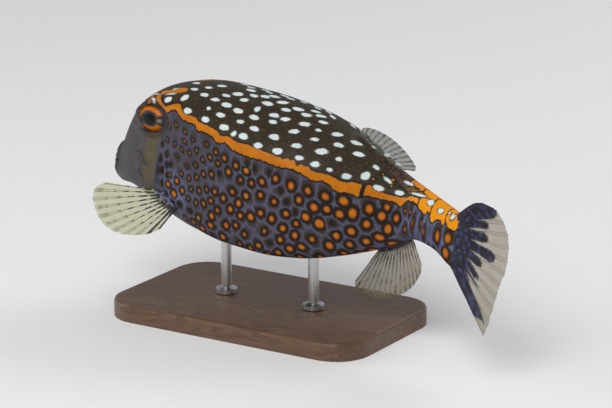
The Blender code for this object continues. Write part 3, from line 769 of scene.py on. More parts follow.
def outward(points):
    """The way out of the skin at each point of the grid."""
    along = np.gradient(points, axis=0)
    around = np.roll(points, -1, 1) - np.roll(points, 1, 1)
    way = np.cross(around, along)
    return way / np.linalg.norm(way, axis=2)[:, :, None]


def shape_mouth(points):
    """Full lips, parted by the line of the mouth."""
    back, left, up = np.moveaxis(points, 2, 0)
    level = up - MOUTH_UP
    slit = hump(level, 0.36) * (1 - ramp(back, 2.6, 4.3))
    full = 0.4 * hump(np.abs(level) - 1.5, 1.0) * ramp(back, 0.3, 1.0) * (1 - ramp(back, 2.4, 4.0))
    points = points + outward(points) * full[:, :, None]
    inward = np.minimum(1.0, 0.4 * np.abs(left)) * slit * ramp(back, 0.2, 1.0)
    points[:, :, 1] -= np.sign(left) * inward
    points[:, :, 0] += 0.6 * slit * (1 - ramp(back, 0.0, 1.4))
    return points, slit


def off_eye(back, up):
    """Distance from the middle of the eye, shortened along the eye's greater length."""
    return np.hypot((back - EYE_BACK) / EYE_STRETCH, up - EYE_UP)


def shape_eye(points):
    """The swelling round each eye, its lid and the socket behind it."""
    back, left, up = np.moveaxis(points, 2, 0)
    out = np.abs(left)
    off = off_eye(back, up)
    here = (out > EYE_LEFT - 8) & (off < ORBIT_REACH) & (up > EYE_UP - 10)
    on_rim = here & (np.abs(off - OPENING_RADIUS) < 0.17)
    pull = np.where(on_rim, OPENING_RADIUS / np.maximum(off, 1e-6), 1.0)
    back, up = EYE_BACK + (back - EYE_BACK) * pull, EYE_UP + (up - EYE_UP) * pull
    off = off_eye(back, up)
    lid = LID_TOP + EYE_SLANT * (back - EYE_BACK) + LID_SECTION(off)
    reach = ORBIT_REACH - FRONT_LID_DROP * ramp(EYE_BACK - back, -1, 4)
    share = 1 - ramp((off - LID_RADIUS) / (reach - LID_RADIUS), 0.05, 1)
    left = np.where(here, np.sign(left) * (out + (lid - out) * share), left)
    return np.dstack([back, left, up]), np.where(here, off, 99.0)


def shape_small_forms(points, above):
    """Nostrils, gill openings, creases, the rim of the shell and the wrinkles behind it."""
    back, left, up = np.moveaxis(points, 2, 0)
    off = np.hypot(back - NOSTRIL_BACK, up - NOSTRIL_UP)
    lift = (back < 20) * (0.45 * hump(off - 0.85, 0.32) - 0.9 * hump(off, 0.42))
    level = np.clip(1 - ((up - GILL_UP) / GILL_HALF_HEIGHT) ** 2, 0, 1)
    off = back - GILL_BACK + 0.5 * level
    lift -= 1.1 * hump(off, 0.36) * ramp(level, 0.0, 0.25)
    lift += 0.75 * hump(off - 1.5, 0.95) * np.sqrt(level)
    for crease in CREASES:
        lift -= 0.25 * hump(path_distance(back, above, crease), 0.55)
    lift += 0.22 * hump(path_distance(back, above, SHELL_RIM), 0.7)
    for fin in ("pectoral_fin_left", "pectoral_fin_right"):
        lift += 0.7 * hump(distance_to_root(points, *FINS[fin]["roots"]), 2.0)
    wrinkled = ramp(back, 109.5, 112.5) * (1 - ramp(back, 117, 121))
    wrinkled *= ramp(-above, 1.5, 3.5) * (1 - ramp(-above, 12, 15))
    lift += WRINKLE_HEIGHT * wrinkled * wave(back + 0.12 * above, WRINKLE_SPACING)
    return points + outward(points) * lift[:, :, None]


def distance_to_root(points, start, end):
    """How far each point is from the line along a fin's root."""
    start, end = np.array(start), np.array(end)
    run = end - start
    t = np.clip(((points - start) @ run) / (run @ run), 0, 1)
    return np.linalg.norm(points - start - t[..., None] * run, axis=2)


def make_skin(material):
    """The whole skin from the lips to the end of the tail stalk, with its markings."""
    points, back, above, mid_above = body_grid()
    side = np.where(points[:, :, 1] >= 0, 1, -1)
    points, slit = shape_mouth(points)
    points, eye_off = shape_eye(points)
    points = shape_small_forms(points, above).reshape(-1, 3)
    rows, count = back.shape
    back, above = back.ravel(), above.ravel()
    marks = pattern_marks(back, above, side.ravel(), mid_above)
    marks.update(head_marks(back, above, points, slit.ravel(), eye_off.ravel()))
    faces = grid_faces(rows, count, True)
    lips = np.arange(count)
    stalk_end = lips + (rows - 1) * count
    mouth = np.array([0.7, 0.0, MOUTH_UP])
    stalk_middle = points[stalk_end].mean(0)
    points, marks, faces = close_end(points, marks, faces, lips, mouth, (0.8, 0.6, 0.4, 0.2))
    points, marks, faces = close_end(points, marks, faces, stalk_end, stalk_middle, (0.7, 0.35))
    return add_skin("skin", points, faces, marks, material)


def close_end(points, marks, faces, ring, middle, shares):
    """Closes one end of the skin with shrinking rings."""
    last = ring
    for share in shares:
        fresh = len(points) + np.arange(len(ring))
        points = np.concatenate([points, middle + (points[ring] - middle) * share])
        marks = {name: np.concatenate([values, values[ring]]) for name, values in marks.items()}
        faces += np.column_stack([last, np.roll(last, -1), np.roll(fresh, -1), fresh]).tolist()
        last = fresh
    points = np.concatenate([points, middle[None]])
    marks = {name: np.concatenate([values, values[ring[:1]]]) for name, values in marks.items()}
    tip = np.full(len(ring), len(points) - 1)
    faces += np.column_stack([last, np.roll(last, -1), tip]).tolist()
    return points, marks, faces


def flank_length(back):
    """Distance round the body from the upper ridge to the lower one."""
    return np.hypot(ridge_up(back) - keel_up(back), ridge_out(back) - keel_out(back))


def pattern_marks(back, above, side, mid_above):
    """What the paint of the back, the band and the flanks is drawn from."""
    white, orange, ring = (np.full(back.shape, FAR_OFF) for _ in range(3))
    net, thread = np.zeros(back.shape), np.zeros(back.shape)
    for half, seed in ((1, 5), (-1, 11)):
        draw = np.random.default_rng(seed)
        here = side == half
        white[here] = white_distance(back[here], above[here], white_spot_list(mid_above, half, draw))
        found = flank_distances(back[here], above[here], flank_spot_list(half, draw))
        orange[here], ring[here], net[here], thread[here] = found
    below = -above
    patterned = np.minimum(back - 26.4, below - 2.2)
    belly = below - flank_length(back) - 5.5
    by_fin = hump(np.hypot(back - 36.5, below - 25.5), 6.5)
    by_gill = 0.5 * hump(back - 29, 3.5) * ramp(below, 9, 14)
    eyed = np.max([hump(np.hypot(back - b, above - a), 2.2) for b, a, _ in EYED_SPOTS], axis=0)
    return {
        "white_mm": white,
        "orange_mm": np.minimum.reduce([orange, patterned, 0.8 - 0.5 * belly]),
        "ring_mm": np.minimum(ring, patterned + 0.4),
        "band_mm": band_distance(back, above, side, mid_above),
        "net": net,
        "thread": thread * (0.4 + 0.6 * ramp(back, 38, 70)),
        "brown_mm": above + 2.8 * hump(back - 21.5, 4.0),
        "belly_mm": belly,
        "strip_mm": np.minimum(above - line_through(SHELL_RIM)(back), back - 94),
        "vivid": np.maximum.reduce([ramp(back, 106, 120), by_fin, by_gill]),
        "lively": np.maximum(liveliness(back, below), np.clip(1.5 * eyed, 0, 1)),
    }


def head_marks(back, above, points, slit, eye_off):
    """What the paint of the face and the lids is drawn from, with the painted shade of its creases."""
    below = -above
    olive = ramp(back, 18.4, 22.6) * (1 - ramp(back, 24.6, 27.4))
    olive *= ramp(below, 8, 11.5) * (1 - ramp(below, 24, 32))
    gill = hump(back - GILL_BACK + 0.3, 0.5) * (np.abs(points[:, 2] - GILL_UP) < GILL_HALF_HEIGHT)
    # Painted shade: the crease mark darkens the cheek's creases, the mouth's slit, the gill openings and the
    # groove round the lid
    creases = [0.7 * hump(path_distance(back, above, path), 0.5) for path in CREASES]
    creases += [slit, 0.55 * gill, 0.5 * hump(eye_off - LID_GROOVE, 0.7)]
    near_eye = np.abs(points[:, 1]) > EYE_LEFT - 5
    return {
        "face_mm": line_through(FACE_EDGE)(above) - back,
        "olive": olive,
        "muzzle": 0.85 * (1 - ramp(back, 4.5, 9.5)),
        "crease": np.clip(np.maximum.reduce(creases), 0, 1),
        "lid_mm": np.where(near_eye, OPENING_RADIUS + 0.42 - eye_off, FAR_OFF),
        "lid_front": 1 - ramp(points[:, 0], EYE_BACK - 4.0, EYE_BACK - 1.5),
    }


# Colours of the skin. Of two, the first shows where the share that mixes them is low.
DUSK = ((0.028, 0.02, 0.018), (0.062, 0.045, 0.041))
VIOLET = ((0.045, 0.037, 0.041), (0.076, 0.073, 0.115))
VIVID_VIOLET = ((0.095, 0.105, 0.19), (0.15, 0.19, 0.39))
THREAD = (0.11, 0.115, 0.195)
BELLY = (0.042, 0.035, 0.042)
BROWN = ((0.02, 0.015, 0.009), (0.038, 0.028, 0.015))
FOLDS = ((0.022, 0.014, 0.011), (0.1, 0.062, 0.045))
SPECK = (0.14, 0.065, 0.012)
GOLDEN = (0.36, 0.16, 0.01)
FACE = ((0.03, 0.028, 0.029), (0.098, 0.094, 0.098))
CLOUD = (0.045, 0.028, 0.028)
MUZZLE = (0.03, 0.033, 0.037)
OLIVE = ((0.06, 0.043, 0.022), (0.13, 0.1, 0.054))
RING = (0.015, 0.009, 0.006)
OUTLINE = (0.014, 0.009, 0.007)
ORANGE = ((0.24, 0.056, 0.001), (0.52, 0.145, 0.002))
DULL_ORANGE = (0.21, 0.082, 0.01)
BAND = ((0.36, 0.1, 0.0), (0.64, 0.2, 0.0))
STALK_BAND = (0.98, 0.36, 0.0)
HALO = (0.055, 0.04, 0.013)
CHALK = ((0.52, 0.61, 0.63), (0.76, 0.84, 0.83))
LID = ((0.022, 0.014, 0.012), (0.12, 0.105, 0.105))
# Painted shade, laid into the creases, the slits and the groove round the lid
CREASE_SHADE = (0.014, 0.011, 0.011)


def flank_colour(paint, mottle, patches, fine):
    """Dusky flanks under a violet net, with bright threads in it."""
    violet = paint.blended(patches, *VIOLET)
    violet = paint.blended(paint.mark("vivid"), violet, paint.blended(patches, *VIVID_VIOLET))
    ragged = paint.plus(paint.mark("net"), paint.times(paint.minus(fine, 0.5), 0.45))
    either = {0: paint.mark("lively"), 2: ragged, 3: paint.rise(ragged, 0.34, 0.86)}
    netting = put(paint.tree, "ShaderNodeMix", either).outputs[0]
    netting = paint.times(netting, paint.rise(patches, 0.38, 0.6, 0.48, "LINEAR"))
    netting = paint.times(netting, paint.plus(fine, 0.5))
    flank = paint.blended(netting, paint.blended(mottle, *DUSK), violet)
    threads = paint.times(paint.mark("thread"), paint.times(fine, 1.1))
    flank = paint.blended(threads, flank, THREAD)
    return paint.blended(paint.edge(paint.mark("belly_mm"), 1.6, 1.0, 4.0), flank, BELLY)


def back_colour(paint, patches, fine):
    """A brown, finely specked back, with folds and golden meshes behind the shell's rim."""
    strip = paint.edge(paint.minus(paint.mark("strip_mm"), 0.5), 0.4, 0.3)
    streaks = paint.noise(1500.0, 2.0, paint.drawn_out((0.16, 1.0, 1.0)))
    folds = paint.blended(paint.rise(streaks, 0.4367, 0.6033), *FOLDS)
    brown = paint.blended(strip, paint.blended(patches, *BROWN), folds)
    brown = paint.blended(paint.times(paint.rise(fine, 0.5633, 0.6967), 0.6), brown, SPECK)
    golden = paint.times(paint.times(paint.meshes(800.0, 0.2, 0.06), strip), paint.mark("vivid"))
    return paint.blended(golden, brown, GOLDEN)


def face_colour(paint, mottle):
    """A grey, clouded face, dark at the muzzle and olive behind the eye."""
    clouds = paint.rise(paint.noise(140.0, 3.0), 0.4089, 0.6311)
    face = paint.blended(paint.times(clouds, 0.6), paint.blended(mottle, *FACE), CLOUD)
    face = paint.blended(paint.mark("muzzle"), face, MUZZLE)
    return paint.blended(paint.mark("olive"), face, paint.blended(mottle, *OLIVE))


def skin_material():
    """The painted skin: grey face, dark spotted back, orange band and netted flanks, with painted shade in
    its creases and slits.
    """
    paint = Finish(
        "painted_skin", Roughness=0.5, Coat_Weight=0.04, Coat_Roughness=0.3, Specular_IOR_Level=0.16
    )
    height, mottle = paint.grain(0.42)
    paint.relief(paint.plus(height, paint.times(paint.mark("net"), -0.8)), 0.05, 0.35)
    patches, fine = paint.noise(260.0, 3.0), paint.noise(1300.0, 2.0)
    flank, back = flank_colour(paint, mottle, patches, fine), back_colour(paint, patches, fine)
    band, spot, white = (paint.mark(name) for name in ("band_mm", "orange_mm", "white_mm"))
    orange = paint.blended(paint.edge(paint.minus(spot, 0.3), 0.4, 0.2), *ORANGE)
    orange = paint.blended(paint.mark("lively"), DULL_ORANGE, orange)
    gold = paint.blended(mottle, *BAND)
    gold = paint.blended(paint.times(paint.mark("vivid"), 0.6), gold, STALK_BAND)
    colour = flank
    for mask, over in (
        (paint.edge(paint.mark("brown_mm"), 0.4, 0.1), back),
        (paint.edge(paint.mark("face_mm"), 1.5, 1.3, 2.2), face_colour(paint, mottle)),
        (paint.edge(paint.mark("ring_mm"), 0.32, 0.3), RING),
        (paint.edge(paint.plus(band, 0.62), 0.25, 0.15), OUTLINE),
        (paint.edge(spot, 0.26, 0.18), orange),
        (paint.edge(band, 0.16, 0.2, 0.7), gold),
        (paint.edge(paint.plus(white, 0.28), 0.2, 0.12), HALO),
        (paint.edge(white, 0.2, 0.38, 1.2), paint.blended(mottle, *CHALK)),
        (paint.edge(paint.mark("lid_mm"), 0.25, 0.1), paint.blended(paint.mark("lid_front"), *LID)),
        # painted shade in the creases, the slits and the groove round the lid
        (paint.mark("crease"), CREASE_SHADE),
    ):
        colour = paint.blended(mask, colour, over)
    paint.wire("Base Color", colour)
    return paint.material


# Eyes

EYE_SIDES = 96


def make_eye(side, material):
    """One eyeball, with rings close together over its iris and pupil."""
    angles = np.concatenate([np.linspace(0, 1.2, 60)[1:], np.linspace(1.2, math.pi, 24)[1:-1]])
    turns = 2 * math.pi * np.arange(EYE_SIDES) / EYE_SIDES
    angle, turn = np.meshgrid(angles, turns, indexing="ij")
    back = EYE_STRETCH * EYE_RADIUS * np.sin(angle) * np.cos(turn)
    left = np.where(angle < math.pi / 2, EYE_DEPTH, EYE_RADIUS) * np.cos(angle) + EYE_SLANT * back
    rings = np.stack([back, left, EYE_RADIUS * np.sin(angle) * np.sin(turn)], axis=-1).reshape(-1, 3)
    points = np.vstack([(0, EYE_DEPTH, 0), rings, (0, -EYE_RADIUS, 0)]) + (EYE_BACK, EYE_LEFT, EYE_UP)
    last = len(points) - 1
    faces = [(0, 1 + (k + 1) % EYE_SIDES, 1 + k) for k in range(EYE_SIDES)]
    faces += grid_faces(len(angles), EYE_SIDES, True, 1)
    rear = last - EYE_SIDES
    faces += [(last, rear + k, rear + (k + 1) % EYE_SIDES) for k in range(EYE_SIDES)]
    behind, high = (points[:, 0] - EYE_BACK) / EYE_STRETCH, points[:, 2] - EYE_UP
    ring = np.hypot(0.9 * (behind + 0.2), high - 0.05) - 2.65
    rear_gap = np.hypot(behind - 3.5, 0.85 * (high - 0.2)) - 1.55
    front_gap = np.hypot(behind + 3.5, high + 1.9) - 1.5
    marks = {
        "pupil_mm": 1.9 - np.hypot(0.95 * (behind + 0.2), high),
        "orange_mm": np.minimum.reduce([ring, rear_gap, front_gap]),
        "patch_mm": 0.65 - np.hypot(behind - 3.0, high - 0.1),
        "edge_mm": off_eye(points[:, 0], points[:, 2]) - 4.25,
    }
    word = "left" if side > 0 else "right"
    return add_skin("eyeball_" + word, points * [1, side, 1], faces, marks, material)


def eye_material():
    """A glossy eye: round black pupil in a dusky iris that is orange above and below."""
    glass = Finish(
        "glass_eye", Roughness=0.35, Coat_Weight=0.16, Coat_Roughness=0.04, Specular_IOR_Level=0.12
    )
    height, mottle = glass.grain(0.45)
    orange = glass.blended(height, (0.32, 0.07, 0.001), (0.62, 0.16, 0.001))
    patch = glass.times(glass.edge(glass.mark("patch_mm"), 0.4, 0.35, 0.7), 0.6)
    colour = glass.blended(mottle, (0.012, 0.012, 0.014), (0.05, 0.046, 0.046))
    for mask, over in (
        (glass.edge(glass.mark("orange_mm"), 0.28, 0.25, 0.9), orange),
        (patch, (0.3, 0.28, 0.26)),
        (glass.edge(glass.mark("pupil_mm"), 0.22, 0.1), (0.004, 0.004, 0.005)),
        (glass.edge(glass.mark("edge_mm"), 0.15, 0.05), (0.02, 0.012, 0.008)),
    ):
        colour = glass.blended(mask, colour, over)
    glass.wire("Base Color", colour)
    return glass.material


# Fins

PECTORAL = dict(
    roots=((29.5, 19.2, 12.3), (36.5, 20.4, 7.8)), ways=((-0.9, 0.44, -0.01), (-0.1, 0.72, -0.68)),
    lengths=(20.7, 23.0, 22.8, 20.5, 15.0, 9.0), rays=11, dark_rays=2,
    root_thickness=1.9, flesh=0.13, corner=(0.1, 0.1), ragged=0.034,
)


def on_the_right(fin):
    """The same fin on the fish's right side."""
    mirrored = {key: tuple((back, -left, up) for back, left, up in fin[key]) for key in ("roots", "ways")}
    return {**fin, **mirrored}


# Of each fin: the two ends of its root, the way its first and last rays point, the
# length of rays spread evenly over it, how much of it is fleshy, how much its
# corners are rounded, how ragged its margin is, and its pale dashes as (ray, share out)
FINS = {
    "pectoral_fin_left": PECTORAL,
    "pectoral_fin_right": on_the_right(PECTORAL),
    "dorsal_fin": dict(
        roots=((89.5, 0, float(back_up(89.5))), (105, 0, float(back_up(105)))),
        ways=((0.15, -0.25, 1.0), (1.0, -0.25, 0.1)),
        lengths=(3.2, 5.0, 6.2, 6.8, 7.0, 6.4), rays=13,
        root_thickness=2.6, flesh=0.3, corner=(0.12, 0.12), ragged=0.03,
        pale=((0.7, 0.12), (4.3, 0.16), (7.5, 0.34), (10.5, 0.38)),
    ),
    "anal_fin": dict(
        roots=((103, 0, float(belly_up(103))), (114, 0, float(belly_up(114)))),
        ways=((-0.48, 0.0, -0.88), (0.6, 0.0, -0.8)),
        lengths=(17.4, 19.7, 18.4, 15.2, 10.0), rays=16,
        root_thickness=4.6, flesh=0.2, corner=(0.1, 0.12), ragged=0.05,
    ),
    "caudal_fin": dict(
        roots=((BODY_LENGTH + 0.3, 0, 31.2), (BODY_LENGTH + 0.3, 0, 14.8)),
        ways=((0.84, 0.0, 0.54), (0.92, 0.0, -0.43)),
        lengths=(20.5, 26.8, 29.5, 29.0, 27.2, 28.0, 30.5), rays=12,
        root_thickness=4.8, flesh=0.24, corner=(0.17, 0.03), ragged=0.012,
    ),
}
MEMBRANE = 0.26
ROOT_SINK = 1.4  # how deep the fins start inside the body
TAIL_CUP = 3.0
LOBE_BULGE = 1.3  # how far the tail fin's upper edge bows upwards
TWIGS = 3  # notches of the margin for each ray
RAY_SIDES = 8
RAY_JOINTS = 30.0
JOINT_DEPTH = 0.1

# The tail fin's pattern. A place on it is a share of its length, and a number of
# rays counted from the upper one.
RAY_GAP = 0.15  # between two rays, as a share of the fin's length
DARK_ROOT = 0.14
# Dark streaks: place at their root and at their end, how far out they end, and their half width
TAIL_STREAKS = (
    (1.9, 2.35, 0.68, 0.44), (3.6, 3.65, 0.63, 0.56), (4.7, 5.3, 0.78, 0.55), (5.8, 6.6, 0.6, 0.5),
    (7.0, 8.0, 0.6, 0.46), (8.0, 8.75, 0.66, 0.14),
)
# Lower edge of the dark upper lobe, and upper edge of the dark strip near the lower margin
UPPER_LOBE = ((0.0, 2.0), (0.3, 1.9), (0.6, 1.75), (0.8, 1.7), (0.93, 1.45), (1.0, 1.0))
LOWER_STRIP = ((0.0, 7.6), (0.1, 7.9), (0.33, 8.6), (0.53, 9.5), (0.72, 9.9), (0.9, 10.25), (1.0, 10.6))
STRIP_FOOT = 11.3
STRIP_END = 0.93


def margin_cut(fin, across):
    """Share of the fin's length that its rounded corners take away, 0 to 1 across."""
    rays = fin["rays"] - 1
    near, far = np.clip(1 - across * rays, 0, 1), np.clip(1 - (1 - across) * rays, 0, 1)
    return fin["corner"][0] * near**2 + fin["corner"][1] * far**2


def fin_surface(name):
    """A function that gives the middle of the fin's membrane at a share across it and a share out."""
    fin = FINS[name]
    shares = np.linspace(0, 1, fin["rays"])
    length_at = smooth_through(np.linspace(0, 1, len(fin["lengths"])), fin["lengths"])
    first, last = (Vector(way).normalized() for way in fin["ways"])
    low, high = [], []
    for share in shares:
        way = first.slerp(last, share)
        root = Vector(fin["roots"][0]).lerp(Vector(fin["roots"][1]), share)
        tip = root + way * float(length_at(share))
        if name == "caudal_fin":
            tip = tip + Vector((ROOT_SINK, TAIL_CUP * (2 * share - 1) ** 2, 0))
            root = root - Vector((ROOT_SINK, 0, 0))
        else:
            root = root - way * ROOT_SINK
        low.append(root)
        high.append(tip)
    lines = [[smooth_through(shares, [point[k] for point in ends]) for k in range(3)] for ends in (low, high)]

    def surface(across, out):
        near, far = (np.stack([line(across) for line in axis], axis=-1) for axis in lines)
        points = near + (far - near) * out[..., None]
        if name == "caudal_fin":
            upper = np.clip(1 - across / 0.3, 0, 1) ** 2
            points[..., 2] += LOBE_BULGE * upper * np.sin(math.pi * np.clip(out, 0, 1)) ** 2
        return points

    return surface


def fin_marks(name, out, across):
    """What a fin's paint is drawn from, at places given as a share out and a number of rays."""
    marks = {"out": out, "across": across, "pale": pale_dashes(FINS[name], out, across)}
    if name == "caudal_fin":
        marks["dark"] = tail_dark(out, across)
    return marks


def make_membrane(name, material):
    """The fin's thin skin, thick and fleshy at its root, slack between its rays."""
    fin, surface = FINS[name], fin_surface(name)
    gaps = fin["rays"] - 1
    across, out = np.meshgrid(np.linspace(0, 1, gaps * TWIGS * 6 + 1), np.linspace(0, 1, 56))
    between = np.sin(math.pi * across * gaps) ** 2
    twigs = np.sin(math.pi * across * gaps * TWIGS) ** 2
    uneven = 0.7 + 0.3 * np.sin(7.3 * across * fin["rays"])
    reach = out * (1 - 0.008 * between - fin["ragged"] * uneven * twigs - margin_cut(fin, across))
    middle = surface(across, reach)
    way = np.cross(np.gradient(middle, axis=0), np.gradient(middle, axis=1))
    way /= np.linalg.norm(way, axis=2)[:, :, None]
    slack = 0.22 * between * np.sin(math.pi * out) * np.where(out > 0.2, 1, 0.3)
    flesh = np.clip(1 - out / fin["flesh"], 0, None) ** 1.5 * (1 - 0.8 * (2 * across - 1) ** 6)
    thick = MEMBRANE / 2 * (1 - 0.4 * out) + (fin["root_thickness"] - 0.6) / 2 * flesh
    sheets = [middle + way * (slack + half)[..., None] for half in (thick, -thick)]
    points = np.concatenate([sheet.reshape(-1, 3) for sheet in sheets])
    rows, count = out.shape
    far = rows * count
    upper = grid_faces(rows, count, False)
    lower = [tuple(corner + far for corner in face[::-1]) for face in upper]
    edge = list(range(count)) + [row * count + count - 1 for row in range(1, rows)]
    edge += list(range(far - 2, far - count - 1, -1)) + [row * count for row in range(rows - 2, 0, -1)]
    rim = [(a, b, b + far, a + far) for a, b in zip(edge, edge[1:] + edge[:1])]
    marks = fin_marks(name, np.tile(out.ravel(), 2), np.tile(across.ravel() * gaps, 2))
    return add_skin(name + "_membrane", points, upper + lower + rim, marks, material)


def tail_dark(out, across):
    """How far inside the dark parts of the tail fin each place is, as a share of its length."""
    lobe = RAY_GAP * (line_through(UPPER_LOBE)(out) - across)
    strip_top = RAY_GAP * (across - line_through(LOWER_STRIP)(out))
    strip_foot = RAY_GAP * (STRIP_FOOT - 0.9 * ramp(out, 0.6, 0.95) - across)
    strip = np.minimum.reduce([strip_top, strip_foot, STRIP_END - out])
    dark = np.maximum.reduce([DARK_ROOT - out, lobe, strip])
    for start, end, reach, half in TAIL_STREAKS:
        middle = start + (end - start) * np.clip(out / reach, 0, 1.1)
        width = half + 0.4 * (1 - ramp(out, 0.12, 0.5)) - 0.5 * half * ramp(out, reach - 0.12, reach) ** 2
        dark = np.maximum(dark, np.minimum(RAY_GAP * (width - np.abs(across - middle)), reach - out))
    return dark


def pale_dashes(fin, out, across):
    """How far inside the fin's pale dashes each place is."""
    inside = np.full(np.shape(out), FAR_OFF)
    for ray, far in fin.get("pale", ()):
        inside = np.maximum(inside, 1 - np.hypot((across - ray) / 0.6, (out - far) / 0.11))
    return inside


def ray_lines(name):
    """The fin's rays as lines that branch twice towards the margin, with each point's girth."""
    fin, surface = FINS[name], fin_surface(name)
    last = fin["rays"] - 1
    lines = []
    for ray in range(fin["rays"]):
        across = ray / last
        lines.append((across, across, 0.03, 0.46, 0.3, 0.2, ray))
        for way in (-1, 1):
            # The outermost rays don't branch past the fin's edge
            room = 0 if ray == (0 if way < 0 else last) else way / last
            lean = across + 0.12 * room
            lines.append((across, lean, 0.46, 0.72, 0.16, 0.13, ray))
            for twig in (-1, 1):
                room = 0 if ray == (0 if way < 0 else last) else twig / last
                lines.append((lean, lean + 0.085 * room, 0.72, 0.985, 0.11, 0.08, ray))
    points, edges, girths, outs, rays = [], [], [], [], []
    for start, end, near, far, thick, thin, ray in lines:
        steps = max(4, round((far - near) * 34))
        share = np.linspace(0, 1, steps)
        sideways = start + (end - start) * share
        out = near + (far - near) * share
        points.append(surface(sideways, out * (1 - margin_cut(fin, sideways))))
        edges += [(len(girths) + i, len(girths) + i + 1) for i in range(steps - 1)]
        stout = 1.5 if ray >= fin["rays"] - fin.get("dark_rays", 0) else 1.0
        girths += list(stout * (thick + (thin - thick) * share) * MM)
        outs += list(out)
        rays += [ray] * steps
    outs, rays = np.array(outs), np.array(rays, float)
    draw = np.random.default_rng(len(name))
    dashes = 0.8 - 0.38 * ramp(outs, 0.2, 0.6) - 0.3 * ramp(outs, 0.6, 0.8) + 0.6 * ramp(outs, 0.86, 0.93)
    marks = fin_marks(name, outs, rays)
    marks["girth"] = girths
    marks["shift"] = draw.random(fin["rays"])[rays.astype(int)]
    marks["dashes"] = np.where(rays >= fin["rays"] - fin.get("dark_rays", 0), 1.2, dashes)
    return np.concatenate(points), edges, marks


def make_swept_rays():
    """Node tree that sweeps a round section along lines, jointed like a fin's soft rays."""
    tree, given, result = new_group(
        "swept_rays",
        (
            ("Lines", "NodeSocketGeometry", None),
            ("Sides", "NodeSocketInt", 8),
            ("Joints", "NodeSocketFloat", 30.0),
            ("Joint Depth", "NodeSocketFloat", 0.12),
            ("Surface", "NodeSocketMaterial", None),
        ),
        (("Rays", "NodeSocketGeometry"),),
        "GeometryNodeTree",
    )
    nodes = Nodes(tree)
    girth, out = (
        put(tree, "GeometryNodeInputNamedAttribute", {"Name": name}, data_type="FLOAT").outputs["Attribute"]
        for name in ("girth", "out")
    )
    phase = nodes.times(nodes.times(out, given["Joints"]), 2 * math.pi)
    swell = nodes.plus(nodes.times(nodes.maths("SINE", phase), given["Joint Depth"]), 1.0)
    curve = put(tree, "GeometryNodeMeshToCurve", {"Mesh": given["Lines"]}).outputs[0]
    radius = {"Curve": curve, "Radius": nodes.times(girth, swell)}
    sweep = {
        "Curve": put(tree, "GeometryNodeSetCurveRadius", radius).outputs[0],
        "Profile Curve": put(
            tree, "GeometryNodeCurvePrimitiveCircle", {"Resolution": given["Sides"], "Radius": 1.0}
        ).outputs[0],
        "Scale": put(tree, "GeometryNodeInputRadius").outputs[0],
        "Fill Caps": True,
    }
    swept = put(tree, "GeometryNodeCurveToMesh", sweep).outputs[0]
    smooth = put(tree, "GeometryNodeSetShadeSmooth", {"Geometry": swept}).outputs[0]
    real = put(tree, "GeometryNodeRealizeInstances", {"Geometry": smooth}).outputs[0]
    coated = put(tree, "GeometryNodeSetMaterial", {"Geometry": real, "Material": given["Surface"]})
    tree.links.new(coated.outputs[0], result["Rays"])
    return tree


def run_nodes(piece, tree, values):
    """Runs a node tree on a piece and leaves its result as a plain mesh."""
    modifier = piece.modifiers.new(tree.name, "NODES")
    modifier.node_group = tree
    sockets = {item.name: item.identifier for item in tree.interface.items_tree if item.item_type == "SOCKET"}
    for label, value in values.items():
        modifier[sockets[label]] = value
    view = bpy.context.evaluated_depsgraph_get()
    view.update()
    mesh = bpy.data.meshes.new_from_object(piece.evaluated_get(view), depsgraph=view)
    piece.modifiers.clear()
    piece.data = mesh
    return piece


def make_rays(name, tree, material):
    """The fin's rays, swept along their lines."""
    points, edges, marks = ray_lines(name)
    piece = add_piece(name + "_rays", points, edges, [], marks)
    values = {"Sides": RAY_SIDES, "Joints": RAY_JOINTS, "Joint Depth": JOINT_DEPTH, "Surface": material}
    return run_nodes(piece, tree, values)


PALE_DASH = (0.5, 0.56, 0.54)
SOLID = 0.97  # opacity of the fins' dark marks


def clear_fin_material(name, tone, flesh, net, body, veil):
    """A see-through fin, fleshy and netted at its root."""
    paint = Finish(name, Roughness=0.45, Coat_Weight=0.05, Coat_Roughness=0.1, Specular_IOR_Level=0.2)
    height, mottle = paint.grain(0.5)
    paint.relief(height, 0.03, 0.3)
    root = paint.edge(paint.times(paint.minus(0.17, paint.mark("out")), 20.0), 0.9, 0.5)
    colour = paint.blended(mottle, tone, tuple(0.8 * part for part in tone))
    colour = paint.blended(root, colour, paint.blended(paint.meshes(400.0, 0.17, 0.05), flesh, net))
    pale = paint.edge(paint.mark("pale"), 0.3, 0.2)
    paint.wire("Base Color", paint.blended(pale, colour, PALE_DASH))
    paint.wire("Alpha", paint.plus(veil, paint.times(paint.maths("MAXIMUM", root, pale), body - veil)))
    return paint.material


def ray_material(name, pale, dark, dashes, least):
    """Soft rays, pale with dark dashes along them."""
    paint = Finish(name, Roughness=0.45, Specular_IOR_Level=0.2)
    run = paint.plus(paint.times(paint.mark("out"), dashes), paint.mark("shift"))
    dash = paint.edge(paint.minus(paint.mark("dashes"), paint.maths("FRACT", run)), 0.12, 0.12, 1.2)
    colour = paint.blended(dash, pale, dark)
    colour = paint.blended(paint.edge(paint.mark("pale"), 0.3, 0.2), colour, PALE_DASH)
    paint.wire("Base Color", colour)
    paint.wire("Alpha", paint.plus(least, paint.times(dash, SOLID - least)))
    return paint.material


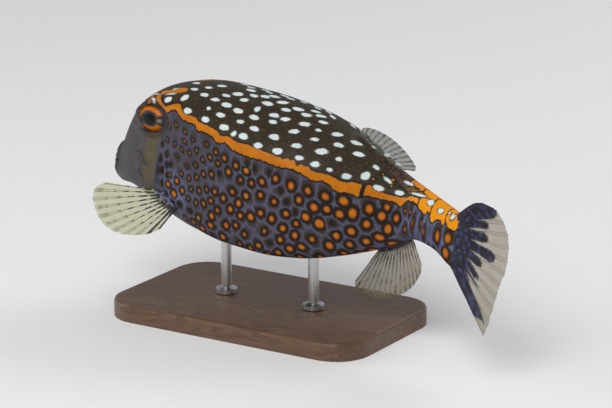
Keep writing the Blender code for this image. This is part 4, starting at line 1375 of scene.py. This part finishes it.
def tail_fin_material(name, pale, least):
    """The tail fin: dark streaks with violet spots along its rays, and clear towards its margin."""
    paint = Finish(name, Roughness=0.42, Coat_Weight=0.05, Coat_Roughness=0.1, Specular_IOR_Level=0.2)
    height, mottle = paint.grain(0.5)
    paint.relief(height, 0.03, 0.3)
    inner = paint.edge(paint.times(paint.mark("dark"), 26.0), 0.5, 0.55, 1.2)
    laid = {"X": paint.mark("across"), "Y": paint.times(paint.mark("out"), 11.0)}
    laid = {"Vector": put(paint.tree, "ShaderNodeCombineXYZ", laid).outputs[0], "Scale": 0.95}
    spots = put(paint.tree, "ShaderNodeTexVoronoi", laid, voronoi_dimensions="2D")
    blue = paint.edge(paint.minus(0.27, spots.outputs["Distance"]), 0.14, 0.1)
    ink = paint.blended(mottle, (0.008, 0.008, 0.014), (0.03, 0.03, 0.05))
    dark = paint.blended(paint.times(blue, 0.6), ink, (0.07, 0.075, 0.19))
    paint.wire("Base Color", paint.blended(inner, pale, dark))
    paint.wire("Alpha", paint.plus(least, paint.times(inner, SOLID - least)))
    return paint.material


# Stand

def wood_material():
    """Dark oiled wood with its grain along the base."""
    wood = Finish("oiled_walnut", Roughness=0.45, Coat_Weight=0.15, Coat_Roughness=0.3)
    along = wood.drawn_out((0.12, 1.0, 1.0))
    rings = {"Vector": along, "Scale": 130.0, "Detail": 3.0, "Distortion": 0.6}
    rings = put(wood.tree, "ShaderNodeTexNoise", rings).outputs[0]
    fibre = wood.noise(2600.0, 4.0, along)
    lines = wood.maths("FRACT", wood.times(rings, 9.0))
    colour = wood.blended(lines, (0.105, 0.05, 0.024), (0.19, 0.1, 0.052))
    wood.wire("Base Color", wood.blended(wood.times(fibre, 0.6), colour, (0.05, 0.024, 0.012)))
    wood.relief(fibre, 0.1, 0.25)
    return wood.material


def steel_material():
    """Brushed steel, its scratches round the rods."""
    steel = Finish("brushed_steel", Roughness=0.28, Metallic=1.0)
    brush = steel.noise(9000.0, 3.0, steel.drawn_out((0.05, 0.05, 1.0)))
    steel.wire("Base Color", steel.blended(brush, (0.5, 0.5, 0.5), (0.68, 0.67, 0.66)))
    steel.wire("Roughness", steel.plus(0.2, steel.times(brush, 0.2)))
    return steel.material


# Stage

FLOOR_HALF_SIZE = 4.0
FLOOR_FADE = (0.35, 1.3)  # the floor is whole up to here, and gone from here on
# Lights: place, size and power
LIGHTS = {
    "key": ((0.15, -0.75, 0.85), 0.7, 7.6),
    "fill": ((-0.9, -0.35, 0.45), 0.8, 2.6),
    "behind": ((0.35, 0.8, 0.7), 0.6, 3.4),
}
LOOKED_AT = (69, 0, 25)  # the middle of the body
CAMERA_AZIMUTH = math.radians(32.1)
CAMERA_ELEVATION = math.radians(15.0)
CAMERA_DISTANCE = 0.951
PICTURE_WIDTH = 612
PICTURE_HEIGHT = 408
AIM_PIXEL = (297.8, 175.6)  # where the middle of the body falls in the picture
PIXELS_PER_METRE = 3087
SENSOR = 36


def make_floor():
    """A pale floor that fades out into the background."""
    size = FLOOR_HALF_SIZE
    mesh = bpy.data.meshes.new("floor")
    corners = [(-size, -size, 0), (size, -size, 0), (size, size, 0), (-size, size, 0)]
    mesh.from_pydata(corners, [], [(0, 1, 2, 3)])
    floor = bpy.data.objects.new("floor", mesh)
    bpy.context.scene.collection.objects.link(floor)
    pale = Finish("pale_floor", Roughness=0.7, Base_Color=(0.88, 0.87, 0.85, 1))
    away = put(pale.tree, "ShaderNodeVectorMath", {0: pale.place}, operation="LENGTH").outputs["Value"]
    pale.wire("Alpha", pale.rise(away, *FLOOR_FADE[::-1]))
    mesh.materials.append(pale.material)
    floor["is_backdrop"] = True


def make_lights(centre):
    """A wide soft key by the camera, a fill, and one behind, in a pale studio."""
    for name, (place, size, power) in LIGHTS.items():
        light = bpy.data.lights.new(name, "AREA")
        light.size = size
        light.energy = power
        lamp = bpy.data.objects.new(name, light)
        bpy.context.scene.collection.objects.link(lamp)
        lamp.location = place
        lamp.rotation_euler = (Vector(place) - centre).to_track_quat("Z", "Y").to_euler()
    world = bpy.data.worlds.new("studio")
    world.use_nodes = True
    tree = world.node_tree
    glow = tree.nodes["Background"]
    glow.inputs["Color"].default_value = (0.9, 0.93, 1.0, 1)
    glow.inputs["Strength"].default_value = 0.36
    seen = put(tree, "ShaderNodeBackground", {"Color": (0.78, 0.79, 0.8, 1.0), "Strength": 1.0})
    by_eye = put(tree, "ShaderNodeLightPath").outputs["Is Camera Ray"]
    both = put(tree, "ShaderNodeMixShader", {0: by_eye, 1: glow.outputs[0], 2: seen.outputs[0]})
    tree.links.new(both.outputs[0], tree.nodes["World Output"].inputs["Surface"])
    bpy.context.scene.world = world


def make_camera():
    """The photo's camera; gives the place that it looks at."""
    centre = Vector(to_world(np.array([LOOKED_AT]))[0])
    level = math.cos(CAMERA_ELEVATION)
    toward = Vector((
        math.sin(CAMERA_AZIMUTH) * level, -math.cos(CAMERA_AZIMUTH) * level, math.sin(CAMERA_ELEVATION)
    ))
    lens = bpy.data.cameras.new("camera")
    camera = bpy.data.objects.new("camera", lens)
    bpy.context.scene.collection.objects.link(camera)
    camera.location = centre + toward * CAMERA_DISTANCE
    camera.rotation_euler = toward.to_track_quat("Z", "Y").to_euler()
    lens.sensor_width = SENSOR
    lens.lens = PIXELS_PER_METRE * CAMERA_DISTANCE / PICTURE_WIDTH * SENSOR
    lens.shift_x = (PICTURE_WIDTH / 2 - AIM_PIXEL[0]) / PICTURE_WIDTH
    lens.shift_y = -(PICTURE_HEIGHT / 2 - AIM_PIXEL[1]) / PICTURE_WIDTH
    lens.clip_start = 0.01
    bpy.context.scene.camera = camera
    bpy.context.scene.view_settings.view_transform = "Standard"
    return centre


def main():
    """Builds the stage, the fish and the looks of its stand."""
    centre = make_camera()
    make_floor()
    make_lights(centre)
    skin = make_skin(skin_material())
    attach(skin, "root")
    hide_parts("lip_upper", "lip_lower", "head", "torso", "tail_stalk")
    glass = eye_material()
    for side, word in ((1, "left"), (-1, "right")):
        eye = make_eye(side, glass)
        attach(eye, "root")
        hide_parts("eye_" + word)
    tree = make_swept_rays()
    cream = clear_fin_material(
        "cream_membrane", (0.54, 0.53, 0.26), (0.016, 0.012, 0.012), (0.09, 0.095, 0.17), 0.97, 0.42
    )
    grey = clear_fin_material(
        "grey_membrane", (0.13, 0.13, 0.105), (0.03, 0.024, 0.02), (0.08, 0.06, 0.045), 0.97, 0.46
    )
    beige = clear_fin_material(
        "beige_membrane", (0.22, 0.18, 0.12), (0.024, 0.015, 0.022), (0.06, 0.05, 0.09), 0.98, 0.46
    )
    dashed = ray_material("dashed_rays", (0.5, 0.47, 0.26), (0.018, 0.016, 0.024), 5.6, 0.6)
    grey_rays = ray_material("grey_rays", (0.32, 0.32, 0.28), (0.1, 0.095, 0.08), 3.0, 0.6)
    beige_rays = ray_material("beige_rays", (0.42, 0.36, 0.25), (0.17, 0.13, 0.09), 2.4, 0.75)
    tail = tail_fin_material("tail_membrane", (0.3, 0.25, 0.165), 0.45)
    tail_rays = tail_fin_material("tail_rays", (0.31, 0.26, 0.18), 0.32)
    looks = {
        "pectoral_fin_left": (cream, dashed, "fin_clear"),
        "pectoral_fin_right": (cream, dashed, "fin_clear"),
        "dorsal_fin": (grey, grey_rays, "fin_clear"),
        "anal_fin": (beige, beige_rays, "fin_clear"),
        "caudal_fin": (tail, tail_rays, "fin_dark"),
    }
    for name, (membrane_look, ray_look, slot) in looks.items():
        membrane = make_membrane(name, membrane_look)
        rays = make_rays(name, tree, ray_look)
        for piece in (membrane, rays):
            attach(piece, "root")
        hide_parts(name)
    wood, steel = wood_material(), steel_material()
    for name, look in (("stand_base", wood), ("stand_rod_front", steel), ("stand_rod_rear", steel)):
        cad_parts[name].material_slots[0].material = look


main()
boxes = {"cad": CAD_BOX, "visual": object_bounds()}
{name: [[float(v) for v in corner] for corner in box] for name, box in boxes.items()}
